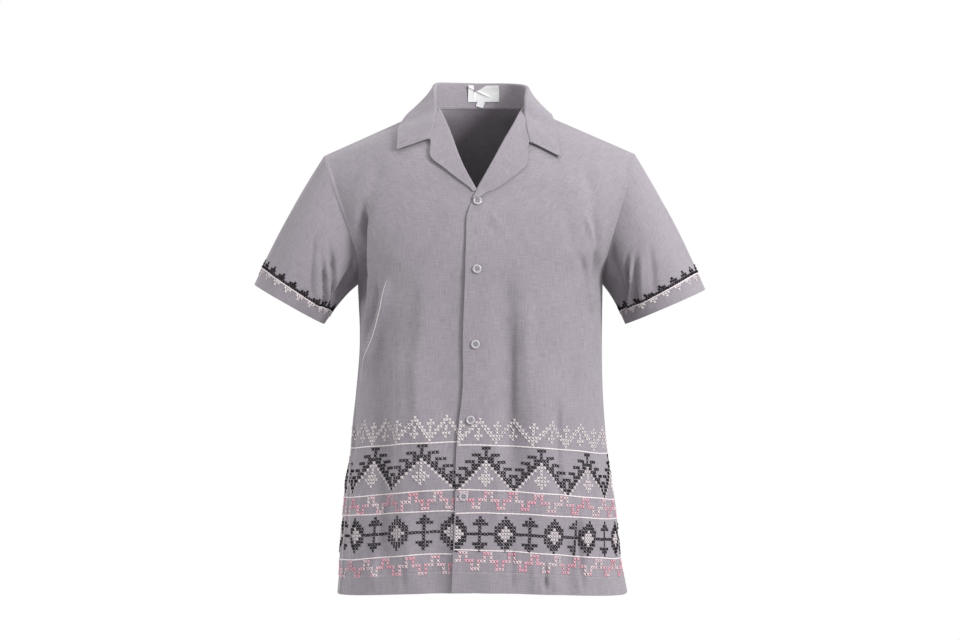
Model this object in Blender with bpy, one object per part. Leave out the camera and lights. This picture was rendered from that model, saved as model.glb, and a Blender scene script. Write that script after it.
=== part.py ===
"""Short-sleeved camp-collar shirt, standing open in the shape it takes when it is worn.

Units are metres and +Z is up. X runs from the wearer's right side to their left side,
-Y is the front. The origin is the middle of the neck at the height of the two points
where the shoulder seams meet the neckline, so the wearer's shoulders carry it there.

Every cloth piece is a wall: an outer face worked out from cross-sections, and an inner
face one cloth thickness behind it. Pieces that are sewn together share the points of
their seam and are then drawn back from it by half of the seam gap each.
"""
import math
from collections import namedtuple

import bpy
import numpy as np
from mathutils import Vector
from mathutils.bvhtree import BVHTree
from mathutils.kdtree import KDTree

WALL = 0.0016
SEAM_GAP = 0.0003
LIE_GAP = 0.0009
STAND_GAP = 0.0010
STAND_LIFT = 0.0018
MITRE_LIMIT = 1.8

RIGHT = 1
LEFT = -1

# How many faces each cloth piece has along and across it
ROWS_BELOW_ARMHOLE = 12
FRONT_COLUMNS = 12
NECK_COLUMNS = 5
SLEEVE_ROWS = 8
DENSE = 10 * (NECK_COLUMNS + FRONT_COLUMNS) + 1

# Front sections, one for each level from hem to shoulder. in_left and in_right are the
# section's point at the front edge or neckline of the wearer's right front, at -X, and
# left front, at +X; out_left and out_right its point at the side or armhole. turn_in and
# turn_out are its directions there on the +X side, and reach_in and reach_out how far it
# keeps to them, as shares of its chord.
FrontRow = namedtuple("FrontRow", "level in_left in_right out_left out_right "
                      "turn_in turn_out reach_in reach_out")
ACROSS = (1.0, 0.0, 0.0)
REARWARD = (0.0, 1.0, 0.0)
FRONT_ROWS = [
    FrontRow(0.00, (-0.011, -0.122, -0.711), (-0.041, -0.126, -0.710),
             (-0.213, 0.000, -0.724), (0.219, 0.000, -0.724), ACROSS, REARWARD, 0.48, 0.34),
    FrontRow(0.60, (-0.009, -0.120, -0.648), (-0.0385, -0.124, -0.648),
             (-0.208, 0.000, -0.670), (0.209, 0.000, -0.670), ACROSS, REARWARD, 0.48, 0.34),
    FrontRow(1.30, (-0.005, -0.118, -0.578), (-0.036, -0.122, -0.578),
             (-0.202, 0.000, -0.600), (0.202, 0.000, -0.600), ACROSS, REARWARD, 0.49, 0.35),
    FrontRow(2.15, (0.001, -0.117, -0.495), (-0.0335, -0.121, -0.495),
             (-0.193, 0.000, -0.515), (0.1895, 0.000, -0.515), ACROSS, REARWARD, 0.50, 0.35),
    FrontRow(3.00, (0.007, -0.117, -0.414), (-0.025, -0.121, -0.414),
             (-0.183, 0.000, -0.430), (0.1825, 0.000, -0.430), ACROSS, REARWARD, 0.51, 0.36),
    FrontRow(3.80, (0.012, -0.120, -0.338), (-0.0245, -0.124, -0.338),
             (-0.177, 0.000, -0.350), (0.181, 0.000, -0.350), ACROSS, REARWARD, 0.52, 0.36),
    FrontRow(4.60, (0.014, -0.124, -0.257), (-0.0215, -0.128, -0.257),
             (-0.180, 0.000, -0.265), (0.182, 0.000, -0.265), ACROSS, REARWARD, 0.52, 0.36),
    FrontRow(5.10, (0.014, -0.121, -0.203), (-0.020, -0.1245, -0.203),
             (-0.179, -0.042, -0.228), (0.187, -0.044, -0.223),
             ACROSS, (0.30, 0.95, 0.00), 0.50, 0.30),
    FrontRow(5.50, (0.010, -0.112, -0.160), (-0.017, -0.1155, -0.160),
             (-0.189, -0.057, -0.192), (0.197, -0.057, -0.185),
             (1.0, 0.0, -0.02), (0.55, 0.83, -0.05), 0.48, 0.27),
    FrontRow(5.80, (-0.0065, -0.104, -0.132), (-0.0035, -0.106, -0.132),
             (-0.202, -0.056, -0.159), (0.2070, -0.055, -0.152),
             (1.0, -0.02, -0.05), (0.70, 0.70, -0.12), 0.46, 0.26),
    FrontRow(6.15, (-0.0295, -0.094, -0.095), (0.015, -0.097, -0.104),
             (-0.2140, -0.048, -0.130), (0.2155, -0.047, -0.123),
             (1.0, -0.05, -0.10), (0.80, 0.55, -0.22), 0.42, 0.27),
    FrontRow(6.50, (-0.047, -0.075, -0.060), (0.0355, -0.081, -0.074),
             (-0.2230, -0.035, -0.104), (0.2235, -0.034, -0.098),
             (0.97, -0.08, -0.20), (0.87, 0.35, -0.32), 0.38, 0.29),
    FrontRow(6.85, (-0.065, -0.044, -0.024), (0.0615, -0.049, -0.034),
             (-0.2295, -0.017, -0.0835), (0.2290, -0.017, -0.0800),
             (0.95, -0.08, -0.30), (0.91, 0.15, -0.38), 0.35, 0.31),
    FrontRow(7.20, (-0.072, 0.008, 0.000), (0.072, 0.008, 0.000),
             (-0.2334, 0.005, -0.0727), (0.2316, 0.005, -0.0697),
             (0.91, 0.00, -0.41), (0.91, 0.00, -0.41), 0.33, 0.33),
]
LEVEL_HEM = 0.0
LEVEL_ARMPIT = 4.60
LEVEL_SHOULDER = 7.20
ARMHOLE_LEVELS = (4.60, 4.85, 5.10, 5.30, 5.50, 5.66, 5.80, 5.88, 6.00, 6.15,
                  6.33, 6.50, 6.67, 6.85, 7.02, 7.20)
LAPEL_FROM, LAPEL_TO = 5.88, 6.85

# Back sections, from the centre back to the side or armhole. Below the armhole they end
# on the same side points as the front sections.
BackRow = namedtuple("BackRow", "level centre out_left out_right turn_out reach_in reach_out")
FORWARD = (0.0, -1.0, 0.0)
BACK_ROWS = [
    BackRow(0.00, (-0.004, 0.128, -0.716), None, None, FORWARD, 0.46, 0.34),
    BackRow(0.60, (-0.004, 0.125, -0.660), None, None, FORWARD, 0.46, 0.34),
    BackRow(1.30, (-0.003, 0.119, -0.590), None, None, FORWARD, 0.46, 0.34),
    BackRow(2.15, (-0.002, 0.111, -0.506), None, None, FORWARD, 0.46, 0.35),
    BackRow(3.00, (0.000, 0.107, -0.422), None, None, FORWARD, 0.47, 0.36),
    BackRow(3.80, (0.000, 0.112, -0.344), None, None, FORWARD, 0.48, 0.36),
    BackRow(4.60, (0.000, 0.119, -0.261), None, None, FORWARD, 0.50, 0.36),
    BackRow(5.10, (0.000, 0.123, -0.206), (-0.181, 0.046, -0.230), (0.187, 0.048, -0.225),
            (0.35, -0.93, 0.00), 0.50, 0.30),
    BackRow(5.50, (0.000, 0.122, -0.162), (-0.193, 0.065, -0.194), (0.199, 0.066, -0.187),
            (0.60, -0.80, -0.05), 0.48, 0.27),
    BackRow(5.80, (0.000, 0.117, -0.125), (-0.2055, 0.068, -0.161), (0.2095, 0.068, -0.154),
            (0.75, -0.62, -0.15), 0.45, 0.27),
    BackRow(6.15, (0.000, 0.106, -0.084), (-0.2165, 0.061, -0.130), (0.2175, 0.061, -0.123),
            (0.84, -0.42, -0.27), 0.42, 0.28),
    BackRow(6.50, (0.000, 0.092, -0.046), (-0.2250, 0.047, -0.103), (0.2250, 0.046, -0.099),
            (0.89, -0.25, -0.35), 0.36, 0.30),
    BackRow(6.85, (0.000, 0.077, -0.017), (-0.2305, 0.027, -0.083), (0.2295, 0.027, -0.080),
            (0.91, -0.10, -0.39), 0.28, 0.36),
]
NECK_BACK = (0.0, 0.062, 0.005)
NECK_MIDDLE = np.array((0.0, 0.0, 0.100))
NECK_SHARE = NECK_COLUMNS / (NECK_COLUMNS + FRONT_COLUMNS)

# Where the side seam lies on the wearer's right: at 1 it is at the side, and below that
# it has swung forward, by this share of the front section.
SEAM_LEVELS = (0.0, 1.3, 2.15, 2.8, 4.6)
SEAM_SHARE = {LEFT: (0.84, 0.85, 0.87, 0.985, 1.0), RIGHT: (1.0, 1.0, 1.0, 1.0, 1.0)}

# Sleeve ends: centre of the cuff, half width in the photo's plane, half depth front to
# back, tilt of the cuff line, and how much lower the back of the cuff hangs.
Cuff = namedtuple("Cuff", "centre half_width half_depth tilt_deg back_drop")
CUFFS = {
    LEFT: Cuff((-0.2850, 0.004, -0.2940), 0.0597, 0.068, 29.4, 0.006),
    RIGHT: Cuff((0.2770, 0.004, -0.2980), 0.0650, 0.068, 23.4, 0.003),
}
SLEEVE_BULGE = {"underarm": -0.004, "front": 0.010, "top": 0.006, "back": 0.012}

# The largest folds, as soft grooves that run between two points of the front view.
# depth is negative where the cloth sinks in.
Fold = namedtuple("Fold", "x_top z_top x_bottom z_bottom width depth")
FOLDS = {
    "front_right": [
        Fold(-0.148, -0.290, -0.132, -0.700, 0.017, -0.0060),
        Fold(-0.118, -0.330, -0.104, -0.730, 0.020, 0.0045),
        Fold(-0.164, -0.275, -0.168, -0.430, 0.009, 0.0040),
        Fold(-0.060, -0.560, -0.066, -0.760, 0.018, -0.0040),
    ],
    "front_left": [
        Fold(0.047, -0.300, 0.050, -0.590, 0.020, -0.0055),
        Fold(0.082, -0.360, 0.094, -0.760, 0.022, 0.0040),
        Fold(0.160, -0.240, 0.128, -0.470, 0.016, -0.0040),
        Fold(0.130, -0.600, 0.128, -0.760, 0.014, -0.0045),
        Fold(0.012, -0.600, 0.010, -0.760, 0.018, 0.0035),
    ],
    "back": [
        Fold(-0.095, -0.170, -0.080, -0.760, 0.024, -0.0065),
        Fold(-0.045, -0.260, -0.030, -0.760, 0.022, 0.0050),
        Fold(0.050, -0.230, 0.038, -0.760, 0.022, -0.0050),
        Fold(0.105, -0.180, 0.092, -0.760, 0.024, 0.0055),
        Fold(0.150, -0.300, 0.140, -0.600, 0.016, -0.0045),
    ],
}
FOLD_FADE = 0.070
SLEEVE_FOLD_FADE = 0.2
SleeveFold = namedtuple("SleeveFold", "angle_deg from_share to_share width_deg depth")
SLEEVE_FOLDS = {
    LEFT: [SleeveFold(150, 0.10, 0.95, 11, -0.0060), SleeveFold(124, 0.25, 1.0, 10, 0.0040),
           SleeveFold(-140, 0.05, 0.9, 14, -0.0055)],
    RIGHT: [SleeveFold(152, 0.05, 0.95, 11, -0.0065), SleeveFold(125, 0.15, 0.9, 10, -0.0045),
            SleeveFold(-138, 0.05, 0.9, 14, -0.0055)],
}

# Collar stations, from the notch on the wearer's right round the back to the other notch.
# root is where the stand starts: an (x, z) place on a front, or None where it stands on
# the neckline. top is the fold line and edge the outer edge of the fall; with two numbers
# they are (x, z) places on the fronts. roll is the fold's radius, and lift how far the
# outer edge stands off the cloth below it.
Station = namedtuple("Station", "root top edge roll lift")
COLLAR_STATIONS = [
    Station((-0.0815, -0.0575), (-0.0750, -0.0560), (-0.1204, -0.0714), 0.0019, 0.0030),
    Station((-0.0785, -0.0370), (-0.0715, -0.0350), (-0.1198, -0.0526), 0.0020, 0.0026),
    Station((-0.0785, -0.0190), (-0.0700, -0.0150), (-0.1173, -0.0324), 0.0022, 0.0020),
    Station(None, (-0.0690, -0.014, 0.012), (-0.1100, -0.016, -0.0145), 0.0024, 0.0016),
    Station(None, (-0.0680, 0.006, 0.0260), (-0.1030, 0.016, -0.0060), 0.0030, 0.0016),
    Station(None, (-0.0620, 0.033, 0.0365), (-0.0920, 0.050, -0.0140), 0.0032, 0.0020),
    Station(None, (-0.0400, 0.062, 0.0405), (-0.0600, 0.076, -0.0170), 0.0032, 0.0020),
    Station(None, (0.0000, 0.0730, 0.0410), (0.0000, 0.086, -0.0180), 0.0032, 0.0020),
    Station(None, (0.0400, 0.062, 0.0395), (0.0600, 0.076, -0.0170), 0.0032, 0.0020),
    Station(None, (0.0620, 0.033, 0.0340), (0.0930, 0.050, -0.0150), 0.0032, 0.0020),
    Station(None, (0.0680, 0.006, 0.0220), (0.1050, 0.016, -0.0090), 0.0030, 0.0016),
    Station(None, (0.0690, -0.014, 0.007), (0.1090, -0.016, -0.0190), 0.0024, 0.0016),
    Station((0.0800, -0.0225), (0.0720, -0.0190), (0.1110, -0.0400), 0.0022, 0.0020),
    Station((0.0800, -0.0430), (0.0730, -0.0400), (0.1140, -0.0610), 0.0020, 0.0026),
    Station((0.0815, -0.0630), (0.0745, -0.0610), (0.1165, -0.0827), 0.0019, 0.0034),
]
COLLAR_PER_STATION = 2

# Lapel stations, one for each row of its front from LAPEL_FROM to LAPEL_TO. stand is the
# height of the roll there, and edge the (x, z) place of the outer edge on the front.
LapelStation = namedtuple("LapelStation", "stand edge roll lift")
LAPELS = {
    "lapel_right": (LEFT, [
        LapelStation(0.0006, (-0.0165, -0.1255), 0.0013, 0.0000),
        LapelStation(0.0012, (-0.0325, -0.1135), 0.0014, 0.0014),
        LapelStation(0.0024, (-0.0522, -0.0982), 0.0016, 0.0028),
        LapelStation(0.0040, (-0.0711, -0.0822), 0.0018, 0.0032),
        LapelStation(0.0060, (-0.0715, -0.0605), 0.0020, 0.0016),
        LapelStation(0.0085, (-0.0680, -0.0370), 0.0022, 0.0006),
        LapelStation(0.0100, (-0.0662, -0.0225), 0.0020, 0.0000),
    ]),
    "lapel_left": (RIGHT, [
        LapelStation(0.0006, (0.0085, -0.1345), 0.0013, 0.0000),
        LapelStation(0.0012, (0.0225, -0.1285), 0.0014, 0.0004),
        LapelStation(0.0024, (0.0420, -0.1154), 0.0016, 0.0006),
        LapelStation(0.0040, (0.0677, -0.0924), 0.0018, 0.0010),
        LapelStation(0.0060, (0.0700, -0.0665), 0.0020, 0.0010),
        LapelStation(0.0085, (0.0682, -0.0420), 0.0022, 0.0006),
        LapelStation(0.0100, (0.0655, -0.0300), 0.0020, 0.0000),
    ]),
}
LAPEL_PER_STATION = 2
ROLL_STEPS = 4
STAND_STEPS = 2
FALL_STEPS = 5

# Buttons down the overlap: (x, z) of each centre on the wearer's left front.
BUTTON_RADIUS = 0.0063
BUTTON_THICK = 0.0026
BUTTON_RIM = 0.0013
BUTTON_DISH = 0.0007
BUTTON_SIDES = 16
BUTTON_GAP = 0.0004
BUTTONS = [(-0.0036, -0.1500), (-0.0043, -0.2446), (-0.0066, -0.3527), (-0.0136, -0.4618),
           (-0.0237, -0.5720)]

# Neck label and size tab on the inner side of the collar stand: left and right edge, and
# how far each reaches up the stand from its root.
Tab = namedtuple("Tab", "name x_from x_to low high thick stand_off")
TAB_COLUMNS = 8
TAB_ROWS = 3
TABS = [Tab("neck_label", -0.0190, 0.0300, 0.0085, 0.0345, 0.0010, 0.0004),
        Tab("size_tab", -0.0065, 0.0045, 0.0005, 0.0078, 0.0010, 0.0004)]


def unit(vector):
    """The vector, or each of an array of them, at length one."""
    vector = np.asarray(vector, dtype=float)
    return vector / np.linalg.norm(vector, axis=-1, keepdims=True)


def mirrored(vector, side):
    """The vector as given on the +X side, or its mirror image on the other side."""
    return np.array((vector[0] * side, vector[1], vector[2]))


def smooth_step(value):
    """0 below 0, 1 above 1, and an S-curve between."""
    value = np.clip(value, 0.0, 1.0)
    return value * value * (3.0 - 2.0 * value)


def section_curve(start, turn_in, end, turn_out, reach_in, reach_out, share):
    """Cubic curve from start to end that keeps to each end's direction for its reach."""
    chord = np.linalg.norm(end - start)
    near = start + unit(turn_in) * reach_in * chord
    far = end - unit(turn_out) * reach_out * chord
    s = np.asarray(share)[:, None]
    return ((1 - s) ** 3 * start + 3 * (1 - s) ** 2 * s * near + 3 * (1 - s) * s ** 2 * far
            + s ** 3 * end)


def through_sections(levels, sections, wanted, armpit=None):
    """Each point of the sections followed along a smooth curve to the wanted levels.

    At the armpit's section the curve keeps the slope that it has below it, so fronts and
    back share their side seam.
    """
    levels = np.asarray(levels, dtype=float)
    wanted = np.asarray(wanted, dtype=float)
    slopes = np.gradient(sections, levels, axis=0)
    if armpit is not None:
        row = int(np.argmin(abs(levels - armpit)))
        slopes[row] = (sections[row] - sections[row - 1]) / (levels[row] - levels[row - 1])
    index = np.clip(np.searchsorted(levels, wanted, side="right") - 1, 0, len(levels) - 2)
    step = levels[index + 1] - levels[index]
    shape = (-1,) + (1,) * (np.ndim(sections) - 1)
    t = ((wanted - levels[index]) / step).reshape(shape)
    step = step.reshape(shape)
    return ((2 * t ** 3 - 3 * t ** 2 + 1) * sections[index]
            + (t ** 3 - 2 * t ** 2 + t) * step * slopes[index]
            + (3 * t ** 2 - 2 * t ** 3) * sections[index + 1]
            + (t ** 3 - t ** 2) * step * slopes[index + 1])


def pick(side, left, right):
    """The value for the wearer's right, at -X, or for their left, at +X."""
    return np.array(left if side == LEFT else right)


def front_sections(side):
    """Front sections of one side, each as a row of DENSE points."""
    share = np.linspace(0.0, 1.0, DENSE)
    rows = [section_curve(pick(side, row.in_left, row.in_right), mirrored(row.turn_in, side),
                          pick(side, row.out_left, row.out_right), mirrored(row.turn_out, side),
                          row.reach_in, row.reach_out, share) for row in FRONT_ROWS[:-1]]
    top = FRONT_ROWS[-1]
    neck_point = pick(side, top.in_left, top.in_right)
    shoulder_point = pick(side, top.out_left, top.out_right)
    rows.append(neck_point + (shoulder_point - neck_point) * share[:, None])
    return np.array(rows)


def back_neckline(side):
    """Top section of the back: round the neckline, then out along the shoulder seam."""
    share = np.linspace(0.0, 1.0, DENSE)
    top = FRONT_ROWS[-1]
    neck_point = pick(side, top.in_left, top.in_right)
    shoulder_point = pick(side, top.out_left, top.out_right)
    round_neck = section_curve(np.array(NECK_BACK), mirrored(ACROSS, side), neck_point,
                               mirrored((0.25, -1.0, -0.12), side), 0.42, 0.42,
                               np.clip(share / NECK_SHARE, 0.0, 1.0))
    along = np.clip((share - NECK_SHARE) / (1.0 - NECK_SHARE), 0.0, 1.0)[:, None]
    return np.where(share[:, None] <= NECK_SHARE, round_neck,
                    neck_point + (shoulder_point - neck_point) * along)


def back_sections(side):
    """Back sections of one side, from the centre back out, each as a row of DENSE points."""
    share = np.linspace(0.0, 1.0, DENSE)
    rows = []
    for row, front in zip(BACK_ROWS, FRONT_ROWS):
        shared = pick(side, front.out_left, front.out_right)
        end = shared if row.out_left is None else pick(side, row.out_left, row.out_right)
        rows.append(section_curve(np.array(row.centre), mirrored(ACROSS, side), end,
                                  mirrored(row.turn_out, side), row.reach_in, row.reach_out,
                                  share))
    rows.append(back_neckline(side))
    return np.array(rows)


def take(dense, share):
    """Points of dense rows at shares of their length; share has one row for each level."""
    place = np.clip(share, 0.0, 1.0) * (DENSE - 1)
    low = np.minimum(place.astype(int), DENSE - 2)
    part = (place - low)[..., None]
    row = np.arange(len(dense))[:, None]
    return dense[row, low] * (1.0 - part) + dense[row, low + 1] * part


def panel_levels():
    """Levels of a panel's rows: hem to armpit, then armpit to shoulder."""
    return np.concatenate((np.linspace(LEVEL_HEM, LEVEL_ARMPIT, ROWS_BELOW_ARMHOLE + 1)[:-1],
                           ARMHOLE_LEVELS))


def seam_share(side, levels):
    """Where the side seam crosses each front section."""
    return np.interp(levels, SEAM_LEVELS, SEAM_SHARE[side])


def front_grid(side, levels, columns=FRONT_COLUMNS):
    """Outer face of a front: rows from hem to shoulder, columns from its edge to the seam."""
    dense = through_sections([row.level for row in FRONT_ROWS], front_sections(side), levels,
                             LEVEL_ARMPIT)
    share = np.linspace(0.0, 1.0, columns + 1)[None, :] * seam_share(side, levels)[:, None]
    return take(dense, share)


def back_half_grid(side, levels, columns=FRONT_COLUMNS + NECK_COLUMNS):
    """Outer face of half the back: columns from the centre back out to the side seam."""
    back_levels = [row.level for row in BACK_ROWS] + [LEVEL_SHOULDER]
    front_levels = [row.level for row in FRONT_ROWS]
    back = through_sections(back_levels, back_sections(side), levels, LEVEL_ARMPIT)
    front = through_sections(front_levels, front_sections(side), levels, LEVEL_ARMPIT)
    seam = seam_share(side, levels)[:, None]
    reach = np.linspace(0.0, 1.0, columns + 1)[None, :] * (2.0 - seam)
    on_back = take(back, reach)
    on_front = take(front, 2.0 - reach)
    return np.where((reach <= 1.0)[..., None], on_back, on_front)


def back_grid(levels):
    """Outer face of the whole back, from the wearer's right side seam to their left one."""
    left = back_half_grid(LEFT, levels)
    right = back_half_grid(RIGHT, levels)
    return np.concatenate((left[:, ::-1], right[:, 1:]), axis=1)


def grid_normals(grid, facing, ring=False):
    """Normal at each point of a grid, turned outwards by the sign of facing."""
    along = np.gradient(grid, axis=0)
    if ring:
        across = np.roll(grid, -1, axis=1) - np.roll(grid, 1, axis=1)
    else:
        across = np.gradient(grid, axis=1)
    return unit(np.cross(across, along)) * facing


def with_folds(grid, normals, folds, seam_rows, seam_columns):
    """The grid moved along its normals by soft grooves that fade out towards its seams."""
    x, z = grid[..., 0], grid[..., 2]
    rise = np.zeros(x.shape)
    for fold in folds:
        down = (z - fold.z_top) / (fold.z_bottom - fold.z_top)
        middle = fold.x_top + (fold.x_bottom - fold.x_top) * down
        ends = (smooth_step((fold.z_top - z) / FOLD_FADE)
                * smooth_step((z - fold.z_bottom) / FOLD_FADE))
        rise += fold.depth * np.exp(-((x - middle) / fold.width) ** 2) * ends
    rows, columns = x.shape
    from_side = np.minimum(np.arange(columns) if seam_columns[0] else columns,
                           np.arange(columns)[::-1] if seam_columns[1] else columns)
    from_top = np.arange(rows)[::-1] if seam_rows else np.full(rows, rows)
    fade = smooth_step(from_side / 2.0)[None, :] * smooth_step(from_top / 3.0)[:, None]
    return grid + normals * (rise * fade)[..., None]


def sleeve_grid(side, armhole, top_index, rows=SLEEVE_ROWS):
    """Outer face of a sleeve, from its armhole ring to its cuff ring.

    Each line runs straight from the armhole to the cuff's ellipse, and bulges by its own
    amount midway.
    """
    cuff = CUFFS[side]
    count = len(armhole)
    tilt = math.radians(cuff.tilt_deg)
    outward = np.array((side * math.cos(tilt), 0.0, math.sin(tilt)))
    steps = np.linalg.norm(np.diff(np.vstack((armhole, armhole[:1])), axis=0), axis=1)
    run = np.concatenate(((0.0,), np.cumsum(steps)))
    half = run[top_index]
    place = run[:count]
    turn = np.where(place <= half, place / half, 1.0 + (place - half) / (run[-1] - half))
    angle = math.pi * (1.0 - turn)
    depth = -np.sin(angle) * cuff.half_depth
    ring = (np.array(cuff.centre) + np.cos(angle)[:, None] * cuff.half_width * outward
            + depth[:, None] * np.array((0.0, 1.0, 0.0)))
    ring[:, 2] -= np.clip(depth / cuff.half_depth, 0.0, 1.0) * cuff.back_drop
    share = np.linspace(0.0, 1.0, rows + 1)[:, None, None]
    grid = armhole[None] * (1.0 - share) + ring[None] * share
    centre_line = np.array(armhole.mean(axis=0))
    radial = unit(armhole - centre_line)
    amount = (np.clip(np.cos(angle), 0, 1) * SLEEVE_BULGE["top"]
              + np.clip(-np.cos(angle), 0, 1) * SLEEVE_BULGE["underarm"]
              + np.clip(np.sin(angle), 0, 1) * SLEEVE_BULGE["front"]
              + np.clip(-np.sin(angle), 0, 1) * SLEEVE_BULGE["back"])
    grid = grid + (4.0 * share * (1.0 - share)) * (amount[:, None] * radial)[None]
    return grid, np.degrees(angle)


def with_sleeve_folds(grid, normals, angles, folds):
    """The sleeve moved along its normals by soft grooves that run from armhole to cuff."""
    share = np.linspace(0.0, 1.0, len(grid))[:, None]
    rise = np.zeros(grid.shape[:2])
    for fold in folds:
        apart = (angles - fold.angle_deg + 180.0) % 360.0 - 180.0
        ends = (smooth_step((share - fold.from_share) / SLEEVE_FOLD_FADE)
                * smooth_step((fold.to_share - share) / SLEEVE_FOLD_FADE + 0.4))
        rise += fold.depth * np.exp(-(apart[None, :] / fold.width_deg) ** 2) * ends
    rise[0] = 0.0
    return grid + normals * rise[..., None]


def share_seam_normals(grids, normals):
    """Gives points that two or more pieces share one mitre vector for their normals.

    The mitre reaches both inner faces at once, as at the corner of a frame, but is kept
    under MITRE_LIMIT cloth thicknesses.
    """
    points = np.concatenate([grid.reshape(-1, 3) for grid in grids.values()])
    own = np.concatenate([normals[name].reshape(-1, 3) for name in grids])
    tree = KDTree(len(points))
    for index, point in enumerate(points):
        tree.insert(point, index)
    tree.balance()
    mean = own.copy()
    for index, point in enumerate(points):
        met = [found[1] for found in tree.find_range(point, SEAM_GAP / 10.0)]
        if len(met) > 1:
            mitre = np.linalg.lstsq(own[met], np.ones(len(met)), rcond=0.3)[0]
            mean[index] = unit(mitre) * min(np.linalg.norm(mitre), MITRE_LIMIT)
    start = 0
    for name, grid in grids.items():
        count = grid.shape[0] * grid.shape[1]
        normals[name] = mean[start:start + count].reshape(grid.shape)
        start += count


def drawn_back(grid, ring=False):
    """The grid with each edge drawn in by half of the seam gap."""
    grid = grid.copy()
    first = unit(grid[1] - grid[0]) * SEAM_GAP / 2
    last = unit(grid[-2] - grid[-1]) * SEAM_GAP / 2
    grid[0] += first
    grid[-1] += last
    if not ring:
        near = unit(grid[:, 1] - grid[:, 0]) * SEAM_GAP / 2
        far = unit(grid[:, -2] - grid[:, -1]) * SEAM_GAP / 2
        grid[:, 0] += near
        grid[:, -1] += far
    return grid


def wall_object(name, outer, inner, material, ring=False):
    """One closed wall between an outer and an inner grid, as an object.

    Both faces are split into triangles alike, so the wall keeps its thickness.
    """
    rows, columns = outer.shape[:2]
    index = np.arange(rows * columns).reshape(rows, columns)
    if ring:
        index = np.hstack((index, index[:, :1]))
    low, high = index[:-1], index[1:]
    outside = np.stack((low[:, :-1], low[:, 1:], high[:, 1:],
                        low[:, :-1], high[:, 1:], high[:, :-1]), axis=-1).reshape(-1, 3)
    shift = rows * columns
    inside = outside[:, ::-1] + shift
    edges = [index[0], index[-1][::-1]]
    if not ring:
        edges += [index[::-1, 0], index[:, -1]]
    points = np.concatenate((outer.reshape(-1, 3), inner.reshape(-1, 3)))
    faces = outside.tolist() + inside.tolist()
    for edge in edges:
        for here, there in zip(edge[:-1], edge[1:]):
            faces += rim_faces(points, here, there, shift)
    return mesh_object(name, points, faces, material)


def rim_faces(points, here, there, shift):
    """Two triangles across a wall's rim, split from its lower outer corner.

    Pieces that meet at a seam then split their rims alike, and stay apart.
    """
    if points[here][2] < points[there][2]:
        return [(there, here, there + shift), (here, here + shift, there + shift)]
    return [(there, here, here + shift), (there, here + shift, there + shift)]


def mesh_object(name, points, faces, material):
    """An object whose closed mesh faces outwards and is shaded smooth but for sharp edges."""
    mesh = bpy.data.meshes.new(name)
    mesh.from_pydata([tuple(point) for point in points], [], [tuple(face) for face in faces])
    mesh.update()
    if signed_volume(mesh) < 0.0:
        mesh.flip_normals()
    mesh.shade_smooth()
    mesh.set_sharp_from_angle(angle=math.radians(50.0))
    mesh.materials.append(material)
    obj = bpy.data.objects.new(name, mesh)
    bpy.context.collection.objects.link(obj)
    return obj


def signed_volume(mesh):
    """Six times the volume that the mesh holds, below zero where it faces inwards."""
    mesh.calc_loop_triangles()
    points = np.array([vertex.co for vertex in mesh.vertices])
    corners = points[np.array([triangle.vertices for triangle in mesh.loop_triangles])]
    return float(np.einsum("ij,ij->i", corners[:, 0], np.cross(corners[:, 1], corners[:, 2])).sum())


def surface_tree(grids):
    """A tree for nearest-point and ray questions on the outer faces of the panels."""
    points, faces, start = [], [], 0
    for grid, facing in grids:
        rows, columns = grid.shape[:2]
        index = np.arange(rows * columns).reshape(rows, columns) + start
        quads = np.stack((index[:-1, :-1], index[:-1, 1:], index[1:, 1:], index[1:, :-1]), axis=-1)
        quads = quads.reshape(-1, 4)
        faces.append(quads if facing > 0 else quads[:, ::-1])
        points.append(grid.reshape(-1, 3))
        start += rows * columns
    return BVHTree.FromPolygons(np.concatenate(points).tolist(), np.concatenate(faces).tolist())


def on_front(tree, x, z):
    """The point of the fronts' outer face seen from straight ahead at x, z, and its normal."""
    point, normal, _, _ = tree.ray_cast(Vector((x, -1.0, z)), Vector((0.0, 1.0, 0.0)))
    if point is None:
        point, normal, _, _ = tree.find_nearest(Vector((x, 0.0, z)))
    return np.array(point), np.array(normal)


def moved_clear(tree, points, clearance):
    """Points moved out along the panels' normals until each is its clearance away."""
    moved = points.copy()
    for place in np.ndindex(points.shape[:-1]):
        near, normal, _, _ = tree.find_nearest(Vector(points[place]))
        away = (Vector(points[place]) - near).dot(normal)
        if away < clearance[place]:
            moved[place] = points[place] + np.array(normal) * (clearance[place] - away)
    return moved


def lift_needed(tree, sections, clearance):
    """How far each section has to move along a panel's normal until all of it is clear."""
    lift = np.zeros((len(sections), 3))
    for row, section in enumerate(sections):
        most = 0.0
        for point in section:
            near, normal, _, _ = tree.find_nearest(Vector(point))
            short = clearance - (Vector(point) - near).dot(normal)
            if short > most:
                most = short
                lift[row] = np.array(normal) * short
    return lift


def folded_section(root, top, edge, outward, roll):
    """Middle lines of a folded collar, for arrays of stations.

    Each runs from its root up the stand, over a half circle of radius roll at the fold,
    and down a curve to its outer edge.
    """
    up = unit(top - root)
    away = unit(outward - (outward * up).sum(axis=-1, keepdims=True) * up)
    roll = roll[:, None]
    stand = [root + (top - root) * share for share in np.linspace(0.0, 1.0, STAND_STEPS + 1)[:-1]]
    turns = [top + away * roll * (1.0 - math.cos(angle)) + up * roll * math.sin(angle)
             for angle in np.linspace(0.0, math.pi, ROLL_STEPS + 1)]
    start = turns[-1]
    length = np.linalg.norm(edge - start, axis=1, keepdims=True)
    bend = start - up * 0.30 * length + (edge - start) * 0.20
    fall = [(1 - s) ** 2 * start + 2 * (1 - s) * s * bend + s ** 2 * edge
            for s in np.linspace(0.0, 1.0, FALL_STEPS + 1)[1:]]
    return np.stack(stand + turns + fall, axis=1)


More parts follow.
